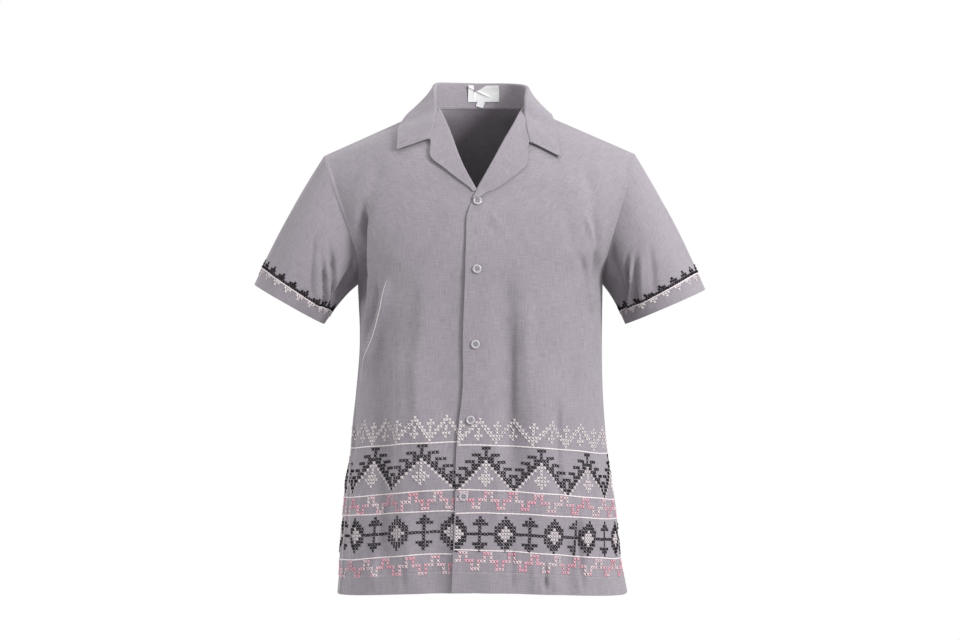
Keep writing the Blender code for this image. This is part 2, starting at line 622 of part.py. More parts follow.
def rim_frame(rim, normals):
    """Middle of the wall along a neckline, its way on past the edge, and its normals."""
    along = np.gradient(rim, axis=0)
    onward = unit(np.cross(normals, along))
    onward *= np.sign((onward * (NECK_MIDDLE - rim)).sum(axis=1, keepdims=True))
    return rim - normals * WALL / 2 + onward * STAND_GAP, onward


def finer(values, steps):
    """Straight steps between the rows of an array."""
    values = np.asarray(values, dtype=float)
    place = np.linspace(0, len(values) - 1, (len(values) - 1) * steps + 1)
    low = np.minimum(place.astype(int), len(values) - 2)
    part = (place - low).reshape((-1,) + (1,) * (values.ndim - 1))
    return values[low] * (1.0 - part) + values[low + 1] * part


def smoother(values, steps):
    """Smooth steps between the rows of an array."""
    values = np.asarray(values, dtype=float)
    levels = np.arange(len(values))
    wanted = np.linspace(0, len(values) - 1, (len(values) - 1) * steps + 1)
    return through_sections(levels, values, wanted)


def lying_on(tree, place, height):
    """A given point as it is, or an (x, z) place on the fronts moved out by height."""
    if len(place) == 3:
        return np.array(place)
    point, normal = on_front(tree, place[0], place[1])
    return point + normal * height


def folded_piece(name, material, tree, lines, roll, lift, flat):
    """A folded collar or lapel from its root, top, edge and outward lines.

    The fall is kept clear of the panels below it, and where flat is 1 also of its own
    stand. That stand lies on the panels, from one station before it first comes over them.
    """
    root, top, edge, outward = lines
    middle = folded_section(root, top, edge, outward, roll)
    fall_from = STAND_STEPS + ROLL_STEPS
    share = np.clip((np.arange(middle.shape[1]) - fall_from) / FALL_STEPS, 0.0, 1.0)
    over_stand = 1.0 - smooth_step(share * 1.6)
    over_fold = (STAND_LIFT - LIE_GAP + 2.0 * roll) * flat
    clearance = (WALL / 2 + LIE_GAP + over_fold[:, None] * over_stand[None, :]
                 + lift[:, None] * share[None, :])
    lying = np.convolve(flat > 0.0, (1, 1, 1), "same") > 0
    rise = lift_needed(tree, middle[lying, :fall_from + 1], WALL / 2 + STAND_LIFT)
    middle[lying] += rise[:, None] * over_stand[None, :, None]
    fall = slice(fall_from + 1, None)
    middle[:, fall] = moved_clear(tree, middle[:, fall], clearance[:, fall])
    normals = grid_normals(middle, 1.0)
    wall_object(name, middle + normals * WALL / 2, middle - normals * WALL / 2, material)
    return middle


def build_lapel(name, material, tree, grids, normals):
    """Turned-back top of a front, from the neck opening's foot up to the collar."""
    side, stations = LAPELS[name]
    levels = panel_levels()
    rows = (levels > LAPEL_FROM - 1e-6) & (levels < LAPEL_TO + 1e-6)
    panel = "front_left" if side == RIGHT else "front_right"
    root, onward = rim_frame(grids[panel][rows, 0], normals[panel][rows, 0])
    stand = np.array([station.stand for station in stations])
    lie = WALL / 2 + LIE_GAP
    edge = np.array([lying_on(tree, station.edge, lie + station.lift) for station in stations])
    steps = LAPEL_PER_STATION
    lines = (finer(root, steps), finer(root + onward * stand[:, None], steps), smoother(edge, steps),
             unit(finer(normals[panel][rows, 0], steps)))
    roll = finer([station.roll for station in stations], steps)
    lift = finer([station.lift for station in stations], steps)
    return folded_piece(name, material, tree, lines, roll, lift, np.zeros(len(roll)))


def neck_rim(grids, normals):
    """The neckline from one front's neck point round the back to the other's."""
    levels = panel_levels()
    upper = levels > LAPEL_TO - 1e-6
    neck = slice(FRONT_COLUMNS, FRONT_COLUMNS + 2 * NECK_COLUMNS + 1)
    rim = np.concatenate((grids["front_right"][upper, 0], grids["back"][-1, neck],
                          grids["front_left"][upper, 0][::-1]))
    rim_normals = np.concatenate((normals["front_right"][upper, 0], normals["back"][-1, neck],
                                  normals["front_left"][upper, 0][::-1]))
    keep = np.concatenate(((True,), np.linalg.norm(np.diff(rim, axis=0), axis=1) > 2 * SEAM_GAP))
    return rim_frame(rim[keep], rim_normals[keep])


def build_collar(material, tree, grids, normals):
    """One folded collar, from notch to notch round the back of the neck."""
    rim, onward = neck_rim(grids, normals)
    rim, onward = finer(rim, 12), unit(finer(onward, 12))
    stations = COLLAR_STATIONS
    stand_lie = WALL / 2 + STAND_LIFT
    top = [lying_on(tree, station.top, stand_lie) for station in stations]
    edge = [lying_on(tree, station.edge, WALL / 2 + LIE_GAP + station.lift) for station in stations]
    root, outward, flat = [], [], []
    for station, top_point, edge_point in zip(stations, top, edge):
        if station.root is None:
            nearest = np.argmin(np.linalg.norm(rim - (top_point + (0, 0, -0.02)), axis=1))
            root.append(rim[nearest])
            outward.append(unit(edge_point - top_point))
        else:
            root.append(lying_on(tree, station.root, stand_lie))
            outward.append(on_front(tree, *station.root)[1])
        flat.append(0.0 if station.root is None else 1.0)
    steps = COLLAR_PER_STATION
    flat = finer(flat, steps)
    root = smoother(root, steps)
    for index in np.flatnonzero(flat < 1e-6):
        root[index] = rim[np.argmin(np.linalg.norm(rim - root[index], axis=1))]
    lines = (root, smoother(top, steps), smoother(edge, steps), unit(smoother(outward, steps)))
    roll = finer([station.roll for station in stations], steps)
    lift = finer([station.lift for station in stations], steps)
    return folded_piece("collar", material, tree, lines, roll, lift, flat)


def build_tab(tab, material, collar):
    """A flat tab sewn to the neck side of the collar's stand, with its own thickness."""
    behind = collar[collar[:, 0, 1] > 0.0]
    foot, fold = behind[:, 0], behind[:, STAND_STEPS]
    x = np.linspace(tab.x_from, tab.x_to, TAB_COLUMNS + 1)
    low = np.stack([np.interp(x, foot[:, 0], foot[:, axis]) for axis in range(3)], axis=-1)
    high = np.stack([np.interp(x, fold[:, 0], fold[:, axis]) for axis in range(3)], axis=-1)
    up = unit(high - low)
    heights = np.linspace(tab.low, tab.high, TAB_ROWS + 1)[:, None, None]
    sheet = low[None] + up[None] * heights
    neckward = grid_normals(sheet, 1.0)
    back = sheet + neckward * (WALL / 2 + tab.stand_off)
    wall_object(tab.name, back + neckward * tab.thick, back, material)


def build_button(name, material, tree, place):
    """A four-hole button lying on the wearer's left front, facing out of the cloth."""
    point, normal = on_front(tree, place[0], place[1])
    profile = [(0.0, 0.0), (BUTTON_RADIUS * 0.86, 0.0), (BUTTON_RADIUS, BUTTON_THICK * 0.45),
               (BUTTON_RADIUS * 0.93, BUTTON_THICK), (BUTTON_RADIUS - BUTTON_RIM, BUTTON_THICK),
               (BUTTON_RADIUS - BUTTON_RIM * 1.5, BUTTON_THICK - BUTTON_DISH),
               (0.0, BUTTON_THICK - BUTTON_DISH)]
    angles = np.arange(BUTTON_SIDES) * 2 * math.pi / BUTTON_SIDES
    points = [(0.0, 0.0, 0.0)]
    for radius, height in profile[1:-1]:
        points += [(radius * math.cos(a), radius * math.sin(a), height) for a in angles]
    points.append((0.0, 0.0, profile[-1][1]))
    ring = np.arange(BUTTON_SIDES)
    after = (ring + 1) % BUTTON_SIDES
    faces = [(0, 1 + after[i], 1 + ring[i]) for i in ring]
    for level in range(len(profile) - 3):
        low, high = 1 + level * BUTTON_SIDES, 1 + (level + 1) * BUTTON_SIDES
        faces += [(low + ring[i], low + after[i], high + after[i], high + ring[i]) for i in ring]
    last = 1 + (len(profile) - 3) * BUTTON_SIDES
    faces += [(last + ring[i], last + after[i], len(points) - 1) for i in ring]
    obj = mesh_object(name, points, faces, material)
    obj.location = Vector(point + normal * BUTTON_GAP)
    obj.rotation_euler = Vector(normal).to_track_quat("Z", "Y").to_euler()
    return obj


def cloth_material(name, colour, roughness):
    """Matt woven cloth of one colour."""
    material = bpy.data.materials.new(name)
    material.use_nodes = True
    shader = material.node_tree.nodes["Principled BSDF"]
    shader.inputs["Base Color"].default_value = colour
    shader.inputs["Roughness"].default_value = roughness
    shader.inputs["Metallic"].default_value = 0.0
    return material


def main():
    """Clears the scene and builds every piece of the shirt."""
    for obj in list(bpy.data.objects):
        bpy.data.objects.remove(obj)
    chambray = cloth_material("grey_chambray", (0.36, 0.34, 0.37, 1.0), 0.9)
    white_tape = cloth_material("white_satin_tape", (0.85, 0.85, 0.84, 1.0), 0.6)
    shell = cloth_material("grey_shell_resin", (0.55, 0.53, 0.52, 1.0), 0.3)

    levels = panel_levels()
    facing = {"front_left": 1, "front_right": -1, "back": -1, "sleeve_left": -1, "sleeve_right": 1}
    grids = {"front_left": front_grid(RIGHT, levels), "front_right": front_grid(LEFT, levels),
             "back": back_grid(levels)}
    beside = levels > LEVEL_ARMPIT - 1e-6
    armholes = {}
    for name, side, front, back_column in (("sleeve_left", RIGHT, "front_left", -1),
                                           ("sleeve_right", LEFT, "front_right", 0)):
        up = grids[front][beside, -1]
        down = grids["back"][beside, back_column][::-1]
        armhole = np.concatenate((up, down[1:-1]))
        grids[name], armholes[name] = sleeve_grid(side, armhole, len(up) - 1)
    rings = {"sleeve_left", "sleeve_right"}
    normals = {name: grid_normals(grid, facing[name], name in rings) for name, grid in grids.items()}
    plain = {name: grid.copy() for name, grid in grids.items()}
    share_seam_normals(plain, normals)
    for name in ("front_left", "front_right", "back"):
        seams = (True, True) if name == "back" else (False, True)
        grids[name] = with_folds(grids[name], normals[name], FOLDS[name], True, seams)
    for name, side in (("sleeve_left", RIGHT), ("sleeve_right", LEFT)):
        grids[name] = with_sleeve_folds(grids[name], normals[name], armholes[name], SLEEVE_FOLDS[side])
    for name, grid in grids.items():
        outer = drawn_back(grid, name in rings)
        wall_object(name, outer, outer - normals[name] * WALL, chambray, name in rings)

    tree = surface_tree([(grids[name], facing[name]) for name in ("front_left", "front_right", "back")])
    for name in LAPELS:
        build_lapel(name, chambray, tree, grids, normals)
    collar = build_collar(chambray, tree, grids, normals)
    for tab in TABS:
        build_tab(tab, white_tape, collar)
    for number, place in enumerate(BUTTONS, start=1):
        build_button(f"button_{number}", shell, tree, place)


main()
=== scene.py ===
"""Finished look of a short-sleeved camp-collar shirt in grey chambray with cross-stitch borders.

Run as a script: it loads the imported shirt, lays finer cloth, embroidery, buttons and labels
on its form, and sets a plain stage. Lengths are metres, +Z is up and -Y is the front. The
cloth follows the same sections as the solids, on a finer grid, with its smaller creases.
"""

import math
from collections import namedtuple
from functools import lru_cache

import bpy
import numpy as np
from bpy.props import FloatProperty, FloatVectorProperty, PointerProperty
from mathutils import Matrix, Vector


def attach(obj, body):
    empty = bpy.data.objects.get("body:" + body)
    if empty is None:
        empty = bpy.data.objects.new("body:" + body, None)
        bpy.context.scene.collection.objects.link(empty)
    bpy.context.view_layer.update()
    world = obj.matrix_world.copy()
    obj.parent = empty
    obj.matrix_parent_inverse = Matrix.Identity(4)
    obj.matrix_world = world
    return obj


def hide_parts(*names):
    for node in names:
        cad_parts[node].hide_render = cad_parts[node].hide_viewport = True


bl_info = {
    "name": "Camp-collar shirt",
    "version": (1, 0, 0),
    "blender": (4, 5, 0),
    "location": "3D View > Sidebar > Shirt",
    "description": "Builds a chambray camp-collar shirt with cross-stitch borders",
    "category": "Mesh",
}

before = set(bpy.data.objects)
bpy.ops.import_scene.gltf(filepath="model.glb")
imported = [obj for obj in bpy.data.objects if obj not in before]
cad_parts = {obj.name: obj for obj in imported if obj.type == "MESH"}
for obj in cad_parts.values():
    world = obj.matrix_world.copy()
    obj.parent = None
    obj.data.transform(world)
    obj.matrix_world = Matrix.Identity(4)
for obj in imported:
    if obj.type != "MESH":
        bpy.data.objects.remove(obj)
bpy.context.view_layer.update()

# Sides by the sign of X: RIGHT is the picture's right, the wearer's left.
RIGHT, LEFT = 1, -1
# Thickness of the solids' walls, and how the collar and lapels lie: clear of the cloth below,
# past the neckline's edge, and off the shoulder at the stand.
WALL, LIE_GAP, STAND_GAP, STAND_LIFT = 0.0016, 0.0009, -0.0020, 0.0011
# Which way the grid's cross product has to turn to point out of each panel and sleeve.
FACING = {"front_left": 1, "front_right": -1, "back": -1, "sleeve_left": -1, "sleeve_right": 1}
CHAMBRAY = "grey_chambray_woven"


def metres(value):
    """A length in millimetres as metres, or every length of a tuple. None stays None.

    It is rounded to a nanometre, so that 26.2 gives 0.0262 and not its neighbour.
    """
    if isinstance(value, tuple):
        return tuple(metres(part) for part in value)
    return None if value is None else round(value / 1000.0, 9)


def in_metres(kind, first, last, rows):
    """Rows as named tuples, their fields from first up to last turned from mm to metres."""
    return [kind(*row[:first], *metres(row[first:last]), *row[last:]) for row in rows]


def creases_of(*rows):
    """Creases from rows in mm: reach left, reach right, depth, then x and z of each place."""
    return [Crease(metres(tuple(zip(row[3::2], row[4::2]))), *metres(row[:3])) for row in rows]


# ---------------------------------------------------------------- the shirt's own sections

FrontRow = namedtuple("FrontRow", "level in_left in_right out_left out_right "
                      "turn_in turn_out reach_in reach_out")
ACROSS = (1.0, 0.0, 0.0)
REARWARD = (0.0, 1.0, 0.0)
FORWARD = (0.0, -1.0, 0.0)
FRONT_ROWS = in_metres(FrontRow, 1, 5, (
    (0, (-11, -122, -711), (-41, -126, -710), (-213, 0, -724), (219, 0, -724), ACROSS, REARWARD,
     0.48, 0.34),
    (0.6, (-9, -120, -648), (-38.5, -124, -648), (-208, 0, -670), (209, 0, -670), ACROSS, REARWARD,
     0.48, 0.34),
    (1.3, (-5, -118, -578), (-36, -122, -578), (-202, 0, -600), (202, 0, -600), ACROSS, REARWARD,
     0.49, 0.35),
    (2.15, (1, -117, -495), (-33.5, -121, -495), (-193, 0, -515), (189.5, 0, -515), ACROSS,
     REARWARD, 0.5, 0.35),
    (3, (7, -117, -414), (-25, -121, -414), (-183, 0, -430), (182.5, 0, -430), ACROSS, REARWARD,
     0.51, 0.36),
    (3.8, (12, -120, -338), (-24.5, -124, -338), (-177, 0, -350), (181, 0, -350), ACROSS, REARWARD,
     0.52, 0.36),
    (4.6, (14, -124, -257), (-21.5, -128, -257), (-180, 0, -265), (182, 0, -265), ACROSS, REARWARD,
     0.52, 0.36),
    (5.1, (14, -121, -203), (-20, -124.5, -203), (-179, -42, -228), (187, -44, -223), ACROSS,
     (0.3, 0.95, 0), 0.5, 0.3),
    (5.5, (10, -112, -160), (-17, -115.5, -160), (-189, -57, -192), (197, -57, -185),
     (1, 0, -0.02), (0.55, 0.83, -0.05), 0.48, 0.27),
    (5.8, (-6.5, -104, -132), (-3.5, -106, -132), (-202, -56, -159), (207, -55, -152),
     (1, -0.02, -0.05), (0.7, 0.7, -0.12), 0.46, 0.26),
    (6.15, (-29.5, -94, -95), (15, -97, -104), (-214, -48, -130), (215.5, -47, -123),
     (1, -0.05, -0.1), (0.8, 0.55, -0.22), 0.42, 0.27),
    (6.5, (-47, -75, -60), (35.5, -81, -74), (-223, -35, -104), (223.5, -34, -98),
     (0.97, -0.08, -0.2), (0.87, 0.35, -0.32), 0.38, 0.29),
    (6.85, (-65, -44, -24), (61.5, -49, -34), (-229.5, -17, -83.5), (229, -17, -80),
     (0.95, -0.08, -0.3), (0.91, 0.15, -0.38), 0.35, 0.31),
    (7.2, (-72, 8, 0), (72, 8, 0), (-233.4, 5, -72.7), (231.6, 5, -69.7), (0.91, 0, -0.41),
     (0.91, 0, -0.41), 0.33, 0.33),
))
BackRow = namedtuple("BackRow", "level centre out_left out_right turn_out reach_in reach_out")
BACK_ROWS = in_metres(BackRow, 1, 4, (
    (0, (-4, 128, -716), None, None, FORWARD, 0.46, 0.34),
    (0.6, (-4, 125, -660), None, None, FORWARD, 0.46, 0.34),
    (1.3, (-3, 119, -590), None, None, FORWARD, 0.46, 0.34),
    (2.15, (-2, 111, -506), None, None, FORWARD, 0.46, 0.35),
    (3, (0, 107, -422), None, None, FORWARD, 0.47, 0.36),
    (3.8, (0, 112, -344), None, None, FORWARD, 0.48, 0.36),
    (4.6, (0, 119, -261), None, None, FORWARD, 0.5, 0.36),
    (5.1, (0, 123, -206), (-181, 46, -230), (187, 48, -225), (0.35, -0.93, 0), 0.5, 0.3),
    (5.5, (0, 122, -162), (-193, 65, -194), (199, 66, -187), (0.6, -0.8, -0.05), 0.48, 0.27),
    (5.8, (0, 117, -125), (-205.5, 68, -161), (209.5, 68, -154), (0.75, -0.62, -0.15), 0.45, 0.27),
    (6.15, (0, 106, -84), (-216.5, 61, -130), (217.5, 61, -123), (0.84, -0.42, -0.27), 0.42, 0.28),
    (6.5, (0, 92, -46), (-225, 47, -103), (225, 46, -99), (0.89, -0.25, -0.35), 0.36, 0.3),
    (6.85, (0, 77, -17), (-230.5, 27, -83), (229.5, 27, -80), (0.91, -0.1, -0.39), 0.28, 0.36),
))
LEVEL_HEM, LEVEL_ARMPIT, LEVEL_SHOULDER = 0.0, 4.60, 7.20
ARMHOLE_LEVELS = (4.60, 4.85, 5.10, 5.30, 5.50, 5.66, 5.80, 5.88, 6.00, 6.15,
                  6.33, 6.50, 6.67, 6.85, 7.02, 7.20)
SOLID_LEVELS = np.concatenate((np.linspace(LEVEL_HEM, LEVEL_ARMPIT, 13)[:-1], ARMHOLE_LEVELS))
SOLID_COLUMNS = 12
LAPEL_TO = 6.85
NECK_BACK = (0.0, 0.062, 0.005)
NECK_MIDDLE = np.array((0.0, 0.0, 0.100))
NECK_SHARE = 5 / 17
SEAM_LEVELS = (0.0, 1.3, 2.15, 2.8, 4.6)
SEAM_SHARE = {LEFT: (0.84, 0.85, 0.87, 0.985, 1.0), RIGHT: (1.0, 1.0, 1.0, 1.0, 1.0)}
DENSE = 681

Cuff = namedtuple("Cuff", "centre half_width half_depth tilt_deg back_drop")
CUFFS = {
    LEFT: Cuff((-0.2850, 0.004, -0.2940), 0.0597, 0.068, 29.4, 0.006),
    RIGHT: Cuff((0.2770, 0.004, -0.2980), 0.0650, 0.068, 23.4, 0.003),
}
SLEEVE_BULGE = {"underarm": -0.004, "front": 0.010, "top": 0.006, "back": 0.012}

# ---------------------------------------------------------------- folds and creases

# The largest folds, in mm, with the places and depths of the solids' own.
Fold = namedtuple("Fold", "x_top z_top x_bottom z_bottom width depth")
FOLDS = {
    "front_right": in_metres(Fold, 0, 6, (
        (-148, -290, -132, -700, 17, -6),
        (-118, -330, -104, -730, 20, 4.5),
        (-164, -275, -168, -430, 9, 4),
        (-60, -560, -66, -760, 18, -4),
    )),
    "front_left": in_metres(Fold, 0, 6, (
        (47, -300, 50, -590, 20, -5.5),
        (82, -360, 94, -760, 22, 4),
        (160, -240, 128, -470, 16, -4),
        (130, -600, 128, -760, 14, -4.5),
        (12, -600, 10, -760, 18, 3.5),
    )),
    "back": in_metres(Fold, 0, 6, (
        (-95, -170, -80, -760, 24, -6.5),
        (-45, -260, -30, -760, 22, 5),
        (50, -230, 38, -760, 22, -5),
        (105, -180, 92, -760, 24, 5.5),
        (150, -300, 140, -600, 16, -4.5),
    )),
}
FOLD_FADE = 0.070
# The finished cloth folds this many times as deep.
FOLD_GAIN, CREASE_GAIN, SLEEVE_GAIN = 1.6, 1.45, 1.7
SLEEVE_FOLD_FADE, SLEEVE_CREASE_FADE = 0.2, 0.15
# The sleeves' folds start below the head's seam and mostly fade before the border.
HEAD_FADE, BORDER_FADE, BORDER_FROM, BORDER_OVER = 0.06, 0.72, 0.70, 0.14
PUCKER_RISE, PUCKER_RUN = 0.0006, 0.011
SleeveFold = namedtuple("SleeveFold", "angle_deg from_share to_share width_deg depth")
SLEEVE_FOLDS = {
    LEFT: in_metres(SleeveFold, 4, 5, (
        (150, 0.1, 0.95, 11, -6), (124, 0.25, 1, 10, 4), (-140, 0.05, 0.9, 14, -5.5))),
    RIGHT: in_metres(SleeveFold, 4, 5, (
        (152, 0.05, 0.95, 11, -6.5), (125, 0.15, 0.9, 10, -4.5), (-138, 0.05, 0.9, 14, -5.5))),
}
# Smaller creases of the sleeves: the angle drifts from one to the other along the sleeve.
SleeveCrease = namedtuple("SleeveCrease", "angle_from angle_to from_share to_share width_deg depth")
SLEEVE_CREASES = {
    LEFT: in_metres(SleeveCrease, 5, 6, (
        (51, 163, 0.36, 0.92, 4, -3.6), (66, 190, 0.22, 0.66, 7, -5),
        (60, 178, 0.34, 0.82, 4, 2.2), (41, 132, 0.3, 0.82, 4, -2.2),
        (46, 147, 0.38, 0.95, 4.5, 2), (142, 158, -0.05, 0.55, 9, -4),
        (22, 30, 0.25, 1.05, 5, 1.4), (-66, -150, 0.3, 0.92, 5, -3), (-48, -128, 0.35, 0.88, 5, 2),
        (-90, -175, 0.15, 0.7, 7, -4), (-30, -66, 0.1, 0.8, 8, -1.4))),
    RIGHT: in_metres(SleeveCrease, 5, 6, (
        (64, 150, 0.32, 0.92, 5, -4), (78, 183, 0.24, 0.8, 6, -4.8),
        (71, 167, 0.34, 0.86, 4.5, 2.6), (39, 113, 0.42, 0.94, 4, -2.4),
        (56, 134, 0.4, 0.98, 4.5, 2), (128, 160, -0.05, 0.62, 9, -5.6),
        (18, 24, 0.3, 1.05, 6, 1.2), (-70, -158, 0.28, 0.9, 5, -3.2),
        (-52, -120, 0.38, 0.92, 5, 2), (-96, -178, 0.12, 0.66, 7, -4),
        (-26, -70, 0.15, 0.85, 8, -1.4))),
}
# Smaller creases of the panels: each runs through (x, z) places, and a negative depth is a
# trough. width_left and width_right are its reach to either side, so one side may be steep.
Crease = namedtuple("Crease", "path width_left width_right depth")
CREASES = {
    "front_right": creases_of(
        (40, 13, 0.8, 20, 100, -6, -120, -21, -170, -25, -260, -27, -390, -38, -520, -44, -820),
        (2.2, 9, 6.2, -134, -250, -145, -298.5, -158, -343, -174, -404),
        (4, 3, -4, -149, -240, -152, -289, -164.5, -340, -175.5, -392),
        (3, 3, 2.2, -160, -236, -164, -290, -170, -345),
        (3, 3, -2.6, -167.5, -238, -170, -300, -175, -345),
        (7.5, 3.8, -10.5, -168, -135, -171.2, -190, -173, -240, -173.8, -300),
        (9, 3.6, -3.4, -130, -340, -128.5, -430, -128.5, -560),
        (14, 29, 6, -80, -230, -84, -340, -83, -480, -80, -640),
        (10, 10, 2.2, -96, -300, -93, -400, -95, -520),
        (8, 5, -1.4, -87, -430, -85, -560, -87, -705),
        (3.5, 2.5, -2.4, -178, -445, -183, -470, -188, -520),
        (5, 4, 2, -175, -520, -179, -590, -183, -690),
        (5, 5, 2, -150, -600, -153, -650, -155, -715),
        (4.5, 4.5, -1.6, -108, -640, -109, -680, -112, -716),
        (12, 12, -1.2, -45, -150, -76, -190, -115, -235),
        (10, 8, -1.8, -140, -80, -160, -130, -168, -190),
        (9, 9, -1.2, -90, -260, -95, -330, -93, -400),
    ),
    "front_left": creases_of(
        (19, 14, -4.4, 39, -215, 40, -370, 42.5, -540),
        (3, 8, 1.6, 54.5, -280, 54.5, -370, 56, -480),
        (3.5, 3.5, 1.1, 10, -160, 20, -170, 34, -186),
        (3.5, 3.5, -1, 6, -176, 16, -186, 26, -196),
        (3.5, 3.5, -3.4, 93.5, -670, 93, -690, 94, -712),
        (5, 5, 1.8, 76, -660, 77, -690, 76, -714),
        (6, 6, 2, 108, -650, 109, -685, 110, -716),
        (6, 6, -4.6, 164, -150, 170, -200, 173, -285),
        (4, 5, 2.2, 150, -160, 164, -196, 174, -226),
        (6, 4.5, -2.4, 144, -215, 158, -265, 169, -330),
        (4, 4, 2.2, 166, -265, 172, -320, 174, -385),
        (2, 5.5, -3.6, 142, -590, 145, -640, 151, -722),
        (6, 6, 1.8, 170, -520, 174, -600, 182, -710),
        (10, 10, 2.4, 28, -430, 26, -560, 28, -700),
        (9, 9, 2.4, 70, -270, 66, -360, 68, -470),
        (8, 5, -2.6, 115, -420, 112, -500, 115, -590),
        (12, 12, -1.2, 100, -120, 125, -170, 140, -240),
        (10, 8, -1.6, 148, -85, 164, -130, 172, -180),
        (4, 4, -1.8, 48, -640, 47, -680, 46, -712),
    ),
    "back": creases_of(
        (9, 5, -2, -76, -330, -73, -480, -75, -690),
        (8, 8, -1.6, -12, -300, -8, -450, -10, -640),
        (6, 9, 1.8, 68, -380, 65, -520, 64, -700),
        (8, 6, -2.4, 124, -250, 130, -360, 126, -500),
        (7, 9, -2.4, -140, -230, -148, -330, -142, -460),
        (6, 6, -3.6, -156, -160, -165, -210, -170, -270),
        (6, 6, -3.6, 156, -160, 166, -210, 172, -270),
        (14, 14, -1.4, -108, -90, -70, -130, -20, -140),
        (14, 14, -1.4, 108, -90, 70, -130, 20, -140),
        (4, 4, 2, -196, -520, -201, -600, -206, -700),
        (6, 6, 2, 12, -560, 14, -640, 12, -712),
        (6, 6, 2.2, -126, -600, -124, -660, -126, -715),
        (6, 6, -2.2, 118, -620, 116, -670, 118, -716),
    ),
}
CREASE_END = 0.25
SEAM_REACH = 0.009
# Level, depth and spread of the groove that the hem's stitching pulls in.
HEM_LEVEL, HEM_STITCH_DIP, HEM_SPREAD = 0.29, 0.0005, 0.008
# Painted highlights of folded edges on the wearer's right front, as pale cords: down the tuck to
# its side, and over the borders.
TUCK_LIT_EDGE = metres(((-135.5, -260), (-145, -298.5), (-158, -343), (-172.5, -397)))
SEAM_LIT_EDGE = metres(((-190, -490), (-190.5, -600), (-191, -708)))
# The fronts lap over the back at the side seams: how far each panel's edge stands out there,
# how wide that welt is, and over what length it fades out below the shoulder.
SEAM_OVERLAP = {"front_right": 0.0024, "front_left": 0.0011, "back": -0.0004}
SEAM_WELT, SEAM_WELT_FADE = 0.0048, 0.05

# ---------------------------------------------------------------- collar, lapels, small parts

Station = namedtuple("Station", "root top edge roll lift")
COLLAR_STATIONS = in_metres(Station, 0, 5, (
    ((-81.5, -57.5), (-75, -56), (-120.4, -71.4), 1.4, 3),
    ((-78.5, -37), (-69, -35), (-119.8, -52.6), 1.5, 2.6),
    ((-78.5, -19), (-65.5, -15), (-117.3, -32.4), 1.7, 2),
    (None, (-64.8, -14, 12), (-110, -16, -14.5), 2.4, 1.6),
    (None, (-65.5, 6, 26), (-103, 16, -6), 3, 1.6),
    (None, (-62, 33, 36.5), (-92, 50, -14), 3.2, 2),
    (None, (-40, 62, 40.5), (-60, 76, -17), 3.2, 2),
    (None, (0, 73, 41), (0, 86, -18), 3.2, 2),
    (None, (40, 62, 39.5), (60, 76, -17), 3.2, 2),
    (None, (65.5, 31, 33), (93, 50, -15), 3.2, 2),
    (None, (68, 6, 22), (105, 16, -9), 3, 1.6),
    (None, (65.5, -14, 7), (109, -16, -19), 2.4, 1.6),
    ((80, -22.5), (66.5, -19), (111, -40), 1.7, 2),
    ((80, -43), (69.5, -40), (114, -61), 1.5, 2.6),
    ((81.5, -63), (74.5, -61), (116.5, -82.7), 1.4, 3.4),
))
LapelStation = namedtuple("LapelStation", "level stand edge roll lift")
LAPELS = {
    "lapel_right": (LEFT, in_metres(LapelStation, 1, 5, (
        (5.8, 3.2, (-10, -132.5), 0.9, 0),
        (5.88, 3.6, (-16.5, -125.5), 1.2, 0.6),
        (6, 4.2, (-32.5, -113.5), 1.4, 1),
        (6.15, 5.4, (-52.2, -98.2), 1.6, 1.7),
        (6.33, 7, (-71.1, -82.2), 1.8, 2.2),
        (6.5, 9, (-71.5, -60.5), 2, 2.2),
        (6.67, 11.5, (-75, -40), 2.2, 2),
        (6.85, 12.6, (-74.5, -22.5), 2.2, 2.6),
        (7.02, 11.2, (-75, -10), 2.2, 3.4),
        (7.2, 6.8, (-75.5, -1), 2, 3.6),
    ))),
    "lapel_left": (RIGHT, in_metres(LapelStation, 1, 5, (
        (5.68, 3, (-8, -144), 0.7, 1),
        (5.74, 3, (-3, -142.5), 0.8, 2.2),
        (5.8, 3.2, (2, -140), 0.9, 1.4),
        (5.88, 3.6, (8.5, -134.5), 1.2, -0.4),
        (6, 4.2, (22.5, -128.5), 1.4, -0.3),
        (6.15, 5.4, (42, -115.4), 1.6, -0.3),
        (6.33, 7, (67.7, -92.4), 1.8, 0.2),
        (6.5, 9, (70, -66.5), 2, 1.2),
        (6.67, 11.5, (75.5, -44), 2.2, 2),
        (6.85, 12.6, (75, -28), 2.2, 2.8),
        (7.02, 10.8, (75.5, -13), 2.2, 3.8),
        (7.2, 6.2, (76, -2), 2, 4),
    ))),
}
STAND_STEPS, ROLL_STEPS, FALL_STEPS = 6, 10, 26
PER_STATION = 10

BUTTON_RADIUS, BUTTON_THICK = 0.0063, 0.0026
# Points round a button, depths of its dish and holes, and the holes' offset and radius.
BUTTON_SIDES, DISH_DEEP, HOLE_DEEP, HOLE_OFF, HOLE_RADIUS = 72, 0.0009, 0.0014, 0.0013, 0.00095
BUTTONS = metres(((-3.6, -146.2), (-4.3, -244.6), (-6.6, -352.7), (-13.6, -461.8),
                  (-23.7, -572)))
# Middle, width, height and thickness of each, in mm along and up the collar's stand.
Tab = namedtuple("Tab", "name x up wide tall thick stand_off turn_deg")
TABS = in_metres(Tab, 1, 7, (("neck_label", 5.5, 24.5, 48, 26.2, 0.5, 0.4, 0),
                             ("size_tab", 0.5, 7.2, 11.6, 9.8, 0.5, 1.2, -17)))

# ---------------------------------------------------------------- the embroidery's charts

